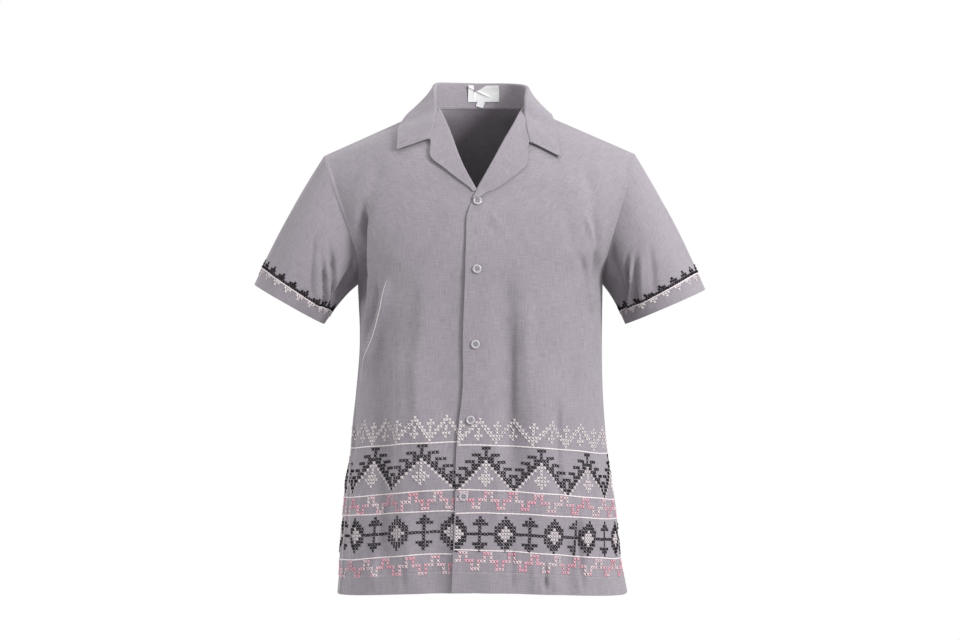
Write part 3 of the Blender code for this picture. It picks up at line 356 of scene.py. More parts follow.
# Half of each repeat, from its middle line out, top row first. The repeat is mirrored about
# its middle. Letters are thread colours: k black, c cream, p pink.
TREES_CHART = ("c......", "cc....c", ".cc..cc", "c.cc..c", "c..cc.c", "cc..ccc", "c....cc",
               "......c")
PEAKS_CHART = ("kk........", "k.........", "k.kkk.....", "kkk.......", "ckk.kkk...",
               "cckkk.....", "c.ckk.kkk.", "c..ckkk...", "cc..ckk.kk", "ccc..ckkk.",
               "cc....ckk.", "c......ckk", "........ck")
KEY_CHART = ("pp...", ".p...", ".ppp.", "...p.", "...pp")
DIAMONDS_CHART = ("k.......k", "kk.....kk", "kkk...kkk", "ckkk....k", "cckk....k", "ccckkkkkk",
                  "cckk....k", "ckkk....k", "kkk...kkk", "kk.....kk", "k.......k")
CUFF_CHART = ("k..", "kk.", "kkk")
CUFF_DROPS_CHART = ("cc.", "c..")

STITCH_PITCH = 0.00445
PER_LEVEL = 0.0985
# Heights of the couched lines, as levels, along each panel: (share of its arc, level).
LINES = {
    "front_left": [((0.0, 2.12), (1.0, 2.14)), ((0.0, 1.46), (1.0, 1.46)),
                   ((0.0, 1.12), (1.0, 1.18)), ((0.0, 0.60), (1.0, 0.58))],
    "front_right": [((0.0, 2.16), (1.0, 2.22)), ((0.0, 1.46), (1.0, 1.48)),
                    ((0.0, 1.14), (1.0, 1.22)), ((0.0, 0.54), (1.0, 0.56))],
    "back": [((0.0, 2.22), (0.5, 2.15), (1.0, 2.14)), ((0.0, 1.48), (0.5, 1.46), (1.0, 1.46)),
             ((0.0, 1.22), (0.5, 1.15), (1.0, 1.18)), ((0.0, 0.56), (0.5, 0.57), (1.0, 0.58))],
}
# A band hangs from, or stands on, one of the lines: height of its top row over that line.
Band = namedtuple("Band", "name chart period line top_row pitch")
BANDS = [
    Band("trees", TREES_CHART, 12, 0, 0.0382, 0.0049),
    Band("peaks", PEAKS_CHART, 18, 0, -0.0042, 0.00495),
    Band("upper_key", KEY_CHART, 8, 1, -0.0036, 0.0053),
    Band("diamonds", DIAMONDS_CHART, 16, 2, -0.0060, 0.00465),
    Band("lower_key", KEY_CHART, 8, 3, -0.0039, 0.0054),
]
# Columns whose place along the panel is known: (column of the chart, arc in mm).
COLUMN_ARCS = {
    ("trees", "front_left"): ((0, 29.6), (12, 83.1), (24, 140.2), (36, 188.8), (48, 245.7)),
    ("trees", "front_right"): ((0, 51.5), (12, 96.8), (24, 155.7), (36, 194.4)),
    ("peaks", "front_left"): ((-9, 2.0), (0, 43.1), (9, 85.2), (18, 124.9), (27, 167.6),
                              (36, 203.4), (45, 236.8)),
    ("peaks", "front_right"): ((-9, 33.9), (0, 83.4), (9, 133.5), (18, 168.6), (27, 209.6)),
    ("upper_key", "front_left"): ((0, 48.0), (8, 84.1), (16, 120.0), (24, 161.9)),
    ("upper_key", "front_right"): ((0, 56.3), (8, 91.8), (16, 134.8), (24, 165.4)),
    ("diamonds", "front_left"): ((0, 4.0), (8, 37.1), (16, 74.6), (24, 110.0), (32, 146.7),
                                 (40, 182.6), (43, 185.2), (48, 205.9), (56, 236.1)),
    ("diamonds", "front_right"): ((0, 32.0), (8, 74.1), (12, 93.5), (16, 116.3), (20, 139.0),
                                  (24, 155.8), (32, 191.6)),
    ("lower_key", "front_left"): ((0, 49.8), (8, 85.9), (16, 118.1), (24, 153.8)),
    ("lower_key", "front_right"): ((0, 56.3), (8, 91.8), (16, 134.8), (24, 165.4)),
}
# Columns that lie inside the tuck by the wearer's left side.
HIDDEN_COLUMNS = {("diamonds", "front_left"): (41, 42)}
# Distance of the couched line from the cuff's edge, the stitches' pitch, how many columns a
# repeat has, and the share along the sleeve where lengths round it are measured.
CUFF_LINE, CUFF_PITCH, CUFF_PERIOD, CUFF_SHARE = 0.0240, 0.0041, 5, 0.85
# Steps along a couched cord, pitch of the machine stitches, and how many points a bar has.
CORD_STEP, MACHINE_PITCH, BAR_POINTS = 0.0022, 0.0030, 14
THREADS = {"k": "black", "c": "cream", "p": "pink"}
CUFF_PHASE = {LEFT: 0.0102, RIGHT: 0.0060}


# ---------------------------------------------------------------- arithmetic of the surfaces

def unit(vector):
    """Each vector over its length."""
    vector = np.asarray(vector, dtype=float)
    return vector / np.maximum(np.linalg.norm(vector, axis=-1, keepdims=True), 1e-12)


def mirrored(vector, side):
    """The vector as given on the +X side, or its mirror image on the other side."""
    return np.array((vector[0] * side, vector[1], vector[2]))


def smooth_step(value):
    """3 v^2 - 2 v^3 for v held between 0 and 1."""
    value = np.clip(value, 0.0, 1.0)
    return value * value * (3.0 - 2.0 * value)


def between(low, high, share):
    """The value a share of the way from low to high."""
    return low * (1.0 - share) + high * share


def read_along(wanted, run, points):
    """Points read at places along a run, straight between neighbours."""
    return np.stack([np.interp(wanted, run, points[:, axis]) for axis in range(3)], axis=-1)


def section_curve(start, turn_in, end, turn_out, reach_in, reach_out, share):
    """Cubic Bezier whose handles are each end's direction times its reach times the chord."""
    chord = np.linalg.norm(end - start)
    near = start + unit(turn_in) * reach_in * chord
    far = end - unit(turn_out) * reach_out * chord
    s = np.asarray(share)[:, None]
    return ((1 - s) ** 3 * start + 3 * (1 - s) ** 2 * s * near + 3 * (1 - s) * s ** 2 * far
            + s ** 3 * end)


def through_sections(levels, sections, wanted, armpit=None):
    """Cubic Hermite curve through the sections, with central-difference slopes."""
    levels = np.asarray(levels, dtype=float)
    wanted = np.asarray(wanted, dtype=float)
    slopes = np.gradient(sections, levels, axis=0)
    if armpit is not None:
        row = int(np.argmin(abs(levels - armpit)))
        slopes[row] = (sections[row] - sections[row - 1]) / (levels[row] - levels[row - 1])
    index = np.clip(np.searchsorted(levels, wanted, side="right") - 1, 0, len(levels) - 2)
    step = levels[index + 1] - levels[index]
    shape = (-1,) + (1,) * (np.ndim(sections) - 1)
    t = ((wanted - levels[index]) / step).reshape(shape)
    step = step.reshape(shape)
    return ((2 * t ** 3 - 3 * t ** 2 + 1) * sections[index]
            + (t ** 3 - 2 * t ** 2 + t) * step * slopes[index]
            + (3 * t ** 2 - 2 * t ** 3) * sections[index + 1]
            + (t ** 3 - t ** 2) * step * slopes[index + 1])


def pick(side, left, right):
    """The value for the wearer's right, at -X, or for their left, at +X."""
    return np.array(left if side == LEFT else right)


def shoulder_seam(side):
    """Both ends of a shoulder seam, at the neck and at the sleeve."""
    top = FRONT_ROWS[-1]
    return pick(side, top.in_left, top.in_right), pick(side, top.out_left, top.out_right)


def front_sections(side):
    """Each front section as a row of DENSE points, the shoulder seam a straight line."""
    share = np.linspace(0.0, 1.0, DENSE)
    rows = [section_curve(pick(side, row.in_left, row.in_right), mirrored(row.turn_in, side),
                          pick(side, row.out_left, row.out_right), mirrored(row.turn_out, side),
                          row.reach_in, row.reach_out, share) for row in FRONT_ROWS[:-1]]
    neck_point, shoulder_point = shoulder_seam(side)
    rows.append(neck_point + (shoulder_point - neck_point) * share[:, None])
    return np.array(rows)


def back_neckline(side):
    """Half the neckline as a cubic, then the shoulder seam as a straight line."""
    share = np.linspace(0.0, 1.0, DENSE)
    neck_point, shoulder_point = shoulder_seam(side)
    round_neck = section_curve(np.array(NECK_BACK), mirrored(ACROSS, side), neck_point,
                               mirrored((0.25, -1.0, -0.12), side), 0.42, 0.42,
                               np.clip(share / NECK_SHARE, 0.0, 1.0))
    along = np.clip((share - NECK_SHARE) / (1.0 - NECK_SHARE), 0.0, 1.0)[:, None]
    return np.where(share[:, None] <= NECK_SHARE, round_neck,
                    neck_point + (shoulder_point - neck_point) * along)


def back_sections(side):
    """Each back section from the centre back out, as a row of DENSE points."""
    share = np.linspace(0.0, 1.0, DENSE)
    rows = []
    for row, front in zip(BACK_ROWS, FRONT_ROWS):
        shared = pick(side, front.out_left, front.out_right)
        end = shared if row.out_left is None else pick(side, row.out_left, row.out_right)
        rows.append(section_curve(np.array(row.centre), mirrored(ACROSS, side), end,
                                  mirrored(row.turn_out, side), row.reach_in, row.reach_out,
                                  share))
    rows.append(back_neckline(side))
    return np.array(rows)


def take(dense, share):
    """Points of dense rows at shares of their length, straight between neighbours."""
    place = np.clip(share, 0.0, 1.0) * (DENSE - 1)
    low = np.minimum(place.astype(int), DENSE - 2)
    part = (place - low)[..., None]
    row = np.arange(len(dense))[:, None]
    return between(dense[row, low], dense[row, low + 1], part)


def seam_share(side, levels):
    """Where the side seam crosses each front section."""
    return np.interp(levels, SEAM_LEVELS, SEAM_SHARE[side])


def front_grid(side, levels, shares):
    """Outer face of a front: rows at levels, columns at shares from its edge to the seam."""
    dense = through_sections([row.level for row in FRONT_ROWS], front_sections(side), levels,
                             LEVEL_ARMPIT)
    return take(dense, shares[None, :] * seam_share(side, levels)[:, None])


def back_half_grid(side, levels, shares):
    """Outer face of half the back, which runs on over the front section to the seam."""
    back_levels = [row.level for row in BACK_ROWS] + [LEVEL_SHOULDER]
    front_levels = [row.level for row in FRONT_ROWS]
    back = through_sections(back_levels, back_sections(side), levels, LEVEL_ARMPIT)
    front = through_sections(front_levels, front_sections(side), levels, LEVEL_ARMPIT)
    seam = seam_share(side, levels)[:, None]
    reach = shares[None, :] * (2.0 - seam)
    return np.where((reach <= 1.0)[..., None], take(back, reach), take(front, 2.0 - reach))


def grid_normals(grid, facing, ring=False):
    """Cross product of the grid's two directions, turned outwards by the sign of facing."""
    along = np.gradient(grid, axis=0)
    if ring:
        across = np.roll(grid, -1, axis=1) - np.roll(grid, 1, axis=1)
    else:
        across = np.gradient(grid, axis=1)
    return unit(np.cross(across, along)) * facing


def run_lengths(grid, axis):
    """Length along one direction of the grid from its first point to each point."""
    steps = np.linalg.norm(np.diff(grid, axis=axis), axis=2)
    zero = np.zeros_like(np.take(steps, [0], axis=axis))
    return np.concatenate((zero, np.cumsum(steps, axis=axis)), axis=axis)


def fold_rise(x, z, folds):
    """Sum over the folds of depth * exp(-(distance / width)^2), faded at both ends."""
    rise = np.zeros(x.shape)
    for fold in folds:
        down = (z - fold.z_top) / (fold.z_bottom - fold.z_top)
        middle = fold.x_top + (fold.x_bottom - fold.x_top) * down
        ends = (smooth_step((fold.z_top - z) / FOLD_FADE)
                * smooth_step((z - fold.z_bottom) / FOLD_FADE))
        rise += fold.depth * np.exp(-((x - middle) / fold.width) ** 2) * ends
    return rise


def crease_rise(x, z, creases):
    """Sum over the creases of depth * exp(-(d / width)^2) * taper.

    d is the signed distance to the crease's path, width is its reach on that side, and the
    taper is an S-curve over the first and last quarter with a slow swell between.
    """
    rise = np.zeros(x.shape)
    for number, crease in enumerate(creases):
        path = np.array(crease.path)
        steps = np.diff(path, axis=0)
        lengths = np.linalg.norm(steps, axis=1)
        start = np.concatenate(((0.0,), np.cumsum(lengths)))
        best = np.full(x.shape, 1e9)
        side = np.zeros(x.shape)
        along = np.zeros(x.shape)
        for (px, pz), (dx, dz), length, run in zip(path, steps, lengths, start):
            t = np.clip(((x - px) * dx + (z - pz) * dz) / length ** 2, 0.0, 1.0)
            away_x, away_z = x - px - t * dx, z - pz - t * dz
            away = np.hypot(away_x, away_z)
            nearer = away < best
            best = np.where(nearer, away, best)
            side = np.where(nearer, away_x * dz - away_z * dx, side)
            along = np.where(nearer, (run + t * length) / start[-1], along)
        width = np.where(side > 0.0, crease.width_left, crease.width_right)
        taper = smooth_step(along / CREASE_END) * smooth_step((1.0 - along) / CREASE_END)
        swell = 1.0 + 0.25 * np.sin(along * 9.0 + number * 2.1)
        rise += crease.depth * np.exp(-(best / width) ** 2) * taper * swell
    return rise


# ---------------------------------------------------------------- the shirt's surfaces

Cloth = namedtuple("Cloth", "name levels points normals arc height ring")


def panel_levels():
    """Levels of the fine rows, closer together beside the hem's stitching."""
    body = np.linspace(LEVEL_HEM, LEVEL_ARMPIT, 106)[:-1]
    body = body[abs(body - HEM_LEVEL) > 0.025]
    hem = HEM_LEVEL + np.array((-0.022, -0.012, -0.006, 0.0, 0.006, 0.012, 0.022))
    return np.concatenate((np.sort(np.concatenate((body, hem))),
                           np.linspace(LEVEL_ARMPIT, LEVEL_SHOULDER, 66)))


def panel_cloth(name, grid, levels, shares):
    """A panel's outer face: its sections raised by folds, creases, hem stitching and seams.

    Folds fade beside the side seams, of which the back has one at either edge.
    """
    normals = grid_normals(grid, FACING[name])
    x, z = grid[..., 0], grid[..., 2]
    arc, height = run_lengths(grid, 1), run_lengths(grid, 0)
    columns = shares * SOLID_COLUMNS
    rows = np.interp(levels, SOLID_LEVELS, np.arange(len(SOLID_LEVELS)))
    from_top = len(SOLID_LEVELS) - 1 - rows
    from_side, edge_arc = columns[-1] - columns, arc[:, -1:] - arc
    if name == "back":
        from_side = np.minimum(from_side, columns - columns[0])
        edge_arc = np.minimum(edge_arc, arc)
    solid_fade = smooth_step(from_side / 2.0)[None, :] * smooth_step(from_top / 3.0)[:, None]
    folds = fold_rise(x, z, FOLDS[name]) * solid_fade
    below_top = height[-1:] - height
    creases = (crease_rise(x, z, CREASES[name]) * smooth_step(edge_arc / SEAM_REACH)
               * smooth_step(below_top / (2 * SEAM_REACH)))
    rise = folds * FOLD_GAIN + creases * CREASE_GAIN
    rise -= HEM_STITCH_DIP * np.exp(-((levels - HEM_LEVEL) / HEM_SPREAD) ** 2)[:, None]
    rise += (SEAM_OVERLAP[name] * np.exp(-(edge_arc / SEAM_WELT) ** 4)
             * smooth_step(below_top / SEAM_WELT_FADE))
    points = grid + normals * rise[..., None]
    flat = grid + normals * (folds + creases)[..., None]
    return Cloth(name, levels, points, grid_normals(points, FACING[name]), run_lengths(flat, 1),
                 run_lengths(flat, 0), False)


def armhole_ring(front, back, side):
    """Closed ring of the armhole: up the front panel's edge, and down the back panel's."""
    beside = front.levels > LEVEL_ARMPIT - 1e-6
    up = front.points[beside, -1]
    down = back.points[beside, -1 if side == RIGHT else 0][::-1]
    return np.concatenate((up, down[1:-1])), len(up) - 1


def solid_armhole_middle(side):
    """Mean of the solid's own armhole points, which its sleeve bulges away from."""
    levels = np.array(ARMHOLE_LEVELS)
    up = front_grid(side, levels, np.array((0.0, 1.0)))[:, -1]
    down = back_half_grid(side, levels, np.array((0.0, 1.0)))[::-1, -1]
    return np.concatenate((up, down[1:-1])).mean(axis=0)


def sleeve_fold(apart, share, fold, fade, held):
    """Depth * exp(-(degrees apart / width)^2), faded at both ends, the cuff's end held up."""
    apart = (apart + 180.0) % 360.0 - 180.0
    ends = (smooth_step((share - fold.from_share) / fade)
            * smooth_step((fold.to_share - share) / fade + held))
    return fold.depth * np.exp(-(apart / fold.width_deg) ** 2) * ends


def sleeve_cloth(name, side, armhole, top_index, rows):
    """A sleeve: straight from the armhole ring to the cuff's ellipse, plus a bulge and folds.

    point = ring * (1 - s) + ellipse * s + 4 s (1 - s) * bulge + normal * folds.
    """
    cuff = CUFFS[side]
    tilt = math.radians(cuff.tilt_deg)
    outward = np.array((side * math.cos(tilt), 0.0, math.sin(tilt)))
    steps = np.linalg.norm(np.diff(np.vstack((armhole, armhole[:1])), axis=0), axis=1)
    run = np.concatenate(((0.0,), np.cumsum(steps)))
    half, place = run[top_index], run[:-1]
    turn = np.where(place <= half, place / half, 1.0 + (place - half) / (run[-1] - half))
    angle = math.pi * (1.0 - turn)
    depth = -np.sin(angle) * cuff.half_depth
    ring = (np.array(cuff.centre) + np.cos(angle)[:, None] * cuff.half_width * outward
            + depth[:, None] * np.array((0.0, 1.0, 0.0)))
    ring[:, 2] -= np.clip(depth / cuff.half_depth, 0.0, 1.0) * cuff.back_drop
    share = np.linspace(0.0, 1.0, rows + 1)[:, None]
    radial = unit(armhole - solid_armhole_middle(side))
    towards = {"top": np.cos(angle), "underarm": -np.cos(angle), "front": np.sin(angle),
               "back": -np.sin(angle)}
    amount = sum(np.clip(towards[way], 0, 1) * bulge for way, bulge in SLEEVE_BULGE.items())
    s = share[..., None]
    grid = (between(armhole[None], ring[None], s)
            + (4.0 * s * (1.0 - s)) * (amount[:, None] * radial)[None])
    normals = grid_normals(grid, FACING[name], True)
    degrees = np.degrees(angle)[None, :]
    rise = np.zeros(grid.shape[:2])
    for fold in SLEEVE_FOLDS[side]:
        rise += sleeve_fold(degrees - fold.angle_deg, share, fold, SLEEVE_FOLD_FADE, 0.4)
    for crease in SLEEVE_CREASES[side]:
        middle = crease.angle_from + (crease.angle_to - crease.angle_from) * share
        rise += SLEEVE_GAIN * sleeve_fold(degrees - middle, share, crease,
                                          SLEEVE_CREASE_FADE, 0.2)
    rise *= (smooth_step(share / HEAD_FADE)
             * (1.0 - BORDER_FADE * smooth_step((share - BORDER_FROM) / BORDER_OVER)))
    # the cloth eased into the sleeve head puckers a little beside its seam
    ease = np.clip(np.cos(angle), 0.0, 1.0)[None, :] * share * 12 * np.exp(-share * 12)
    rise += PUCKER_RISE * np.sin(place / PUCKER_RUN)[None, :] * ease
    points = grid + normals * rise[..., None]
    closed = np.concatenate((points, points[:, :1]), axis=1)
    return Cloth(name, share[:, 0], points, grid_normals(points, FACING[name], True),
                 run_lengths(closed, 1), run_lengths(closed, 0), True)


@lru_cache(maxsize=1)
def shirt_cloths():
    """Every panel and sleeve as fine surfaces, by node name."""
    levels = panel_levels()
    shares, half = np.linspace(0.0, 1.0, 151), np.linspace(0.0, 1.0, 111)
    cloths = {name: panel_cloth(name, front_grid(side, levels, shares), levels, shares)
              for name, side in (("front_left", RIGHT), ("front_right", LEFT))}
    back_shares = np.concatenate((-half[::-1], half[1:])) * 17 / 12
    whole = np.concatenate((back_half_grid(LEFT, levels, half)[:, ::-1],
                            back_half_grid(RIGHT, levels, half)[:, 1:]), axis=1)
    cloths["back"] = panel_cloth("back", whole, levels, back_shares)
    for name, front, side in (("sleeve_left", "front_left", RIGHT),
                              ("sleeve_right", "front_right", LEFT)):
        ring, top_index = armhole_ring(cloths[front], cloths["back"], side)
        cloths[name] = sleeve_cloth(name, side, ring, top_index, 56)
    return cloths


def both_fronts():
    """The two fronts by side."""
    cloths = shirt_cloths()
    return {RIGHT: cloths["front_left"], LEFT: cloths["front_right"]}


def width_at(cloth, level):
    """Length across a cloth along its row nearest to a level."""
    return cloth.arc[np.argmin(abs(cloth.levels - level)), -1]


def evened_length(cloth, arc):
    """A sleeve's length at arcs round it near its cuff, averaged over 40 mm so folds don't show."""
    near = np.argmin(abs(cloth.levels - CUFF_SHARE))
    around = cloth.height[-1, :-1]
    reach = 14
    kernel = np.ones(2 * reach + 1) / (2 * reach + 1)
    even = np.convolve(np.concatenate((around[-reach:], around, around[:reach])), kernel, "valid")
    return np.interp(arc, cloth.arc[near], np.append(even, even[0]))


def place_on(cloth, arc, level):
    """Points at arcs along a cloth and at levels up it, with its two directions and normal.

    The grid is read straight between neighbours. The directions are differences over a
    couple of millimetres, so a stitch lies on the cloth like a small flat tile.
    """
    def read(arcs, levels):
        row = np.interp(levels, cloth.levels, np.arange(len(cloth.levels)))
        low = np.clip(row.astype(int), 0, len(cloth.levels) - 2)
        up = (row - low)[:, None]
        runs = between(cloth.arc[low], cloth.arc[low + 1], up)
        if cloth.ring:
            arcs = arcs % runs[:, -1]
        column = np.clip((runs <= arcs[:, None]).sum(axis=1) - 1, 0, runs.shape[1] - 2)
        pick_row = np.arange(len(arcs))
        start, end = runs[pick_row, column], runs[pick_row, column + 1]
        across = ((arcs - start) / np.maximum(end - start, 1e-9))[:, None]
        following = (column + 1) % cloth.points.shape[1]
        return between(
            between(cloth.points[low, column], cloth.points[low, following], across),
            between(cloth.points[low + 1, column], cloth.points[low + 1, following], across), up)

    reach = 0.0012
    rows = reach / np.median(cloth.height[-1] / (cloth.levels[-1] - cloth.levels[0]))
    middle = read(arc, level)
    across = read(arc + reach, level) - read(arc - reach, level)
    up = read(arc, level + rows) - read(arc, level - rows)
    normal = unit(np.cross(across, up)) * FACING[cloth.name]
    across = unit(across)
    return middle, across, unit(np.cross(normal, across)), normal


def nearest_on(cloths, points):
    """For each point, the nearest place of the cloths' outer faces and its normal."""
    targets = np.concatenate([cloth.points[cloth.levels > 5.2].reshape(-1, 3) for cloth in cloths])
    facing = np.concatenate([cloth.normals[cloth.levels > 5.2].reshape(-1, 3) for cloth in cloths])
    flat = points.reshape(-1, 3)
    found = np.empty(len(flat), dtype=int)
    for start in range(0, len(flat), 500):
        part = flat[start:start + 500]
        square = (targets ** 2).sum(axis=1)[None, :] - 2.0 * part @ targets.T
        found[start:start + 500] = square.argmin(axis=1)
    return targets[found].reshape(points.shape), facing[found].reshape(points.shape)


def nearest_cell(cloth, x, z):
    """Row and column of a front's place that is seen from straight ahead nearest to x, z."""
    away = ((cloth.points[..., 0] - x) ** 2 + (cloth.points[..., 2] - z) ** 2
            + np.where(cloth.normals[..., 1] > -0.02, 1.0, 0.0))
    return np.unravel_index(np.argmin(away), away.shape)


def on_front(cloth, x, z):
    """The point of a front seen from straight ahead at x, z, on the plane of its nearest place."""
    place = nearest_cell(cloth, x, z)
    near, normal = cloth.points[place], cloth.normals[place]
    y = near[1] - (normal[0] * (x - near[0]) + normal[2] * (z - near[2])) / normal[1]
    return np.array((x, y, z)), normal


def seen_place(cloth, x, z):
    """Arc and level of the place of a front that is seen from straight ahead at x, z."""
    row, column = nearest_cell(cloth, x, z)
    step = min(column + 1, cloth.points.shape[1] - 1)
    wide = cloth.points[row, step, 0] - cloth.points[row, step - 1, 0]
    arc = cloth.arc[row, column] + ((x - cloth.points[row, column, 0]) / wide
                                    * (cloth.arc[row, step] - cloth.arc[row, step - 1]))
    above = min(row + 1, len(cloth.levels) - 1)
    tall = cloth.points[above, column, 2] - cloth.points[above - 1, column, 2]
    level = cloth.levels[row] + ((z - cloth.points[row, column, 2]) / tall
                                 * (cloth.levels[above] - cloth.levels[above - 1]))
    return arc, level


# ---------------------------------------------------------------- meshes

def mesh_piece(name, points, faces, material, uv=None, dye_and_shade=None, sharp_deg=None):
    """A mesh from arrays: faces are arrays of corners, uv in metres and dye_and_shade 0 to 1 a
    point: a thread's dye, and on a button the mask of its painted dish shade.
    """
    faces = [np.asarray(part) for part in faces]
    corners = np.concatenate([part.ravel() for part in faces]).astype(np.int32)
    counts = np.concatenate([np.full(len(part), part.shape[1]) for part in faces])
    starts = np.concatenate(((0,), np.cumsum(counts)[:-1])).astype(np.int32)
    mesh = bpy.data.meshes.new(name)
    mesh.vertices.add(len(points))
    mesh.vertices.foreach_set("co", np.asarray(points, dtype=np.float32).ravel())
    mesh.loops.add(len(corners))
    mesh.loops.foreach_set("vertex_index", corners)
    mesh.polygons.add(len(starts))
    mesh.polygons.foreach_set("loop_start", starts)
    mesh.update(calc_edges=True)
    if uv is not None:
        layer = mesh.uv_layers.new(name="cloth")
        layer.data.foreach_set("uv", np.asarray(uv, dtype=np.float32)[corners].ravel())
    if dye_and_shade is not None:
        attribute = mesh.attributes.new("dye_and_shade", "FLOAT", "POINT")
        attribute.data.foreach_set("value", np.asarray(dye_and_shade, dtype=np.float32))
    if mesh_volume(points, faces) < 0.0:
        mesh.flip_normals()
    mesh.shade_smooth()
    if sharp_deg is not None:
        mesh.set_sharp_from_angle(angle=math.radians(sharp_deg))
    mesh.materials.append(material)
    piece = bpy.data.objects.new(name, mesh)
    bpy.context.collection.objects.link(piece)
    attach(piece, "root")
    return piece


def mesh_volume(points, faces):
    """Six times the volume inside the faces: the sum of the corners' triple products."""
    total = 0.0
    for part in faces:
        for step in range(1, part.shape[1] - 1):
            a, b, c = points[part[:, 0]], points[part[:, step]], points[part[:, step + 1]]
            total += np.einsum("ij,ij->", a, np.cross(b, c))
    return total


def grid_faces(index):
    """The four corners of each cell of a grid of point numbers."""
    return np.stack((index[:-1, :-1], index[:-1, 1:], index[1:, 1:], index[1:, :-1]),
                    axis=-1).reshape(-1, 4)


def ring_index(rows, columns):
    """Point numbers of rings of points, with the first column once more at the end."""
    index = np.arange(rows * columns).reshape(rows, columns)
    return np.hstack((index, index[:, :1]))


def fan(tip, edge):
    """Triangles from one point to each step of an edge."""
    return np.stack((edge[:-1], edge[1:], np.full(len(edge) - 1, tip)), axis=-1)


def wall_faces(rows, columns, ring):
    """Corners of a closed wall of two like grids, joined round their rims."""
    index = ring_index(rows, columns)
    if not ring:
        index = index[:, :-1]
    shift = rows * columns
    outside = grid_faces(index)
    edges = [index[0][::-1], index[-1]]
    if not ring:
        edges += [index[:, 0], index[::-1, -1]]
    rims = [np.stack((edge[:-1], edge[1:], edge[1:] + shift, edge[:-1] + shift), axis=-1)
            for edge in edges]
    return [np.concatenate((outside, outside[:, ::-1] + shift, *rims))]


def cloth_wall(name, front, normals, uv, thickness, material, ring=False, sharp_deg=60.0):
    """A wall of cloth: the outer grid, and the same grid moved back along its normals."""
    both = np.concatenate((front.reshape(-1, 3), (front - normals * thickness).reshape(-1, 3)))
    flat = np.asarray(uv).reshape(-1, 2)
    return mesh_piece(name, both, wall_faces(*front.shape[:2], ring), material,
                      uv=np.concatenate((flat, flat)), sharp_deg=sharp_deg)


def bars(starts, ends, normals, half_width, height, lift):
    """Thread bars: each a diamond-section spindle that rises from the cloth and dips back.

    Along the bar t runs 0, 0.14, 0.5, 0.86, 1; its middle line is start + (end - start) t
    + normal * (lift + height * 4 t (1 - t)), and the diamond is half_width wide, tapered to
    a point at both ends.
    """
    count = len(starts)
    along = unit(ends - starts)
    across = unit(np.cross(normals, along))
    stations = np.array((0.14, 0.5, 0.86))
    swell = np.array((0.88, 1.0, 0.88))
    ring = np.array(((1.0, 0.0), (0.0, 1.0), (-1.0, 0.0), (0.0, -0.6)))
    arch = lift + height * 4 * stations * (1 - stations)
    middle = (starts[:, None] + (ends - starts)[:, None] * stations[None, :, None]
              + normals[:, None] * arch[None, :, None])
    body = (middle[:, :, None]
            + across[:, None, None] * (ring[:, 0] * half_width)[None, None, :, None]
            * swell[None, :, None, None]
            + normals[:, None, None] * (ring[:, 1] * half_width * 0.62)[None, None, :, None])
    tips = np.stack((starts - normals * 0.0002, ends - normals * 0.0002), axis=1)
    points = np.concatenate((body.reshape(count, -1, 3), tips), axis=1)
    index = ring_index(3, 4)
    caps = np.concatenate((fan(BAR_POINTS - 2, index[0])[:, [1, 0, 2]],
                           fan(BAR_POINTS - 1, index[-1])))
    shift = (np.arange(count) * BAR_POINTS)[:, None, None]
    return points.reshape(-1, 3), [(grid_faces(index)[None] + shift).reshape(-1, 4),
                                   (caps[None] + shift).reshape(-1, 3)]


def tube(path, across, normals, half_width, height):
    """A flattened tube along a path, with six sides and closed ends."""
    angles = np.arange(6) * math.pi / 3
    wide, tall = np.cos(angles), np.sin(angles)
    half_width = np.broadcast_to(np.asarray(half_width, dtype=float), (len(path),))
    rings = (path[:, None] + across[:, None] * (half_width[:, None] * wide)[..., None]
             + normals[:, None] * (half_width[:, None] * tall * height)[..., None])
    count = len(path)
    points = np.concatenate((rings.reshape(-1, 3), path[:1], path[-1:]))
    index = ring_index(count, 6)
    caps = np.concatenate((fan(count * 6, index[0])[:, [1, 0, 2]], fan(count * 6 + 1, index[-1])))
    return points, [grid_faces(index), caps]


def joined(parts):
    """Several (points, faces) as one."""
    points, quads, triangles, shift = [], [], [], 0
    for part_points, (part_quads, part_triangles) in parts:
        points.append(part_points)
        quads.append(part_quads + shift)
        triangles.append(part_triangles + shift)
        shift += len(part_points)
    return np.concatenate(points), [np.concatenate(quads), np.concatenate(triangles)]


# ---------------------------------------------------------------- materials

def linear(hex_colour, alpha=1.0):
    """An sRGB hex colour as linear red, green, blue and alpha."""
    value = np.array([int(hex_colour[i:i + 2], 16) for i in (1, 3, 5)]) / 255.0
    value = np.where(value <= 0.04045, value / 12.92, ((value + 0.055) / 1.055) ** 2.4)
    return (*value.tolist(), alpha)


def node(tree, kind, links=(), **settings):
    """Adds a node, sets its properties and inputs, and links (source, output, input)."""
    made = tree.nodes.new(kind)
    for key, value in settings.items():
        if key.startswith("set_"):
            made.inputs[key[4:].replace("_", " ")].default_value = value
        else:
            setattr(made, key, value)
    for source, output, target in links:
        tree.links.new(source.outputs[output], made.inputs[target])
    return made


def finish_material(name, roughness, sheen=0.0, specular=0.3, coat=0.0):
    """A material with one principled shader whose constant sockets are set directly."""
    material = bpy.data.materials.new(name)
    material.use_nodes = True
    shader = material.node_tree.nodes["Principled BSDF"]
    shader.inputs["Roughness"].default_value = roughness
    shader.inputs["Specular IOR Level"].default_value = specular
    shader.inputs["Sheen Weight"].default_value = sheen
    shader.inputs["Sheen Roughness"].default_value = 0.5
    shader.inputs["Coat Weight"].default_value = coat
    return material, material.node_tree, shader


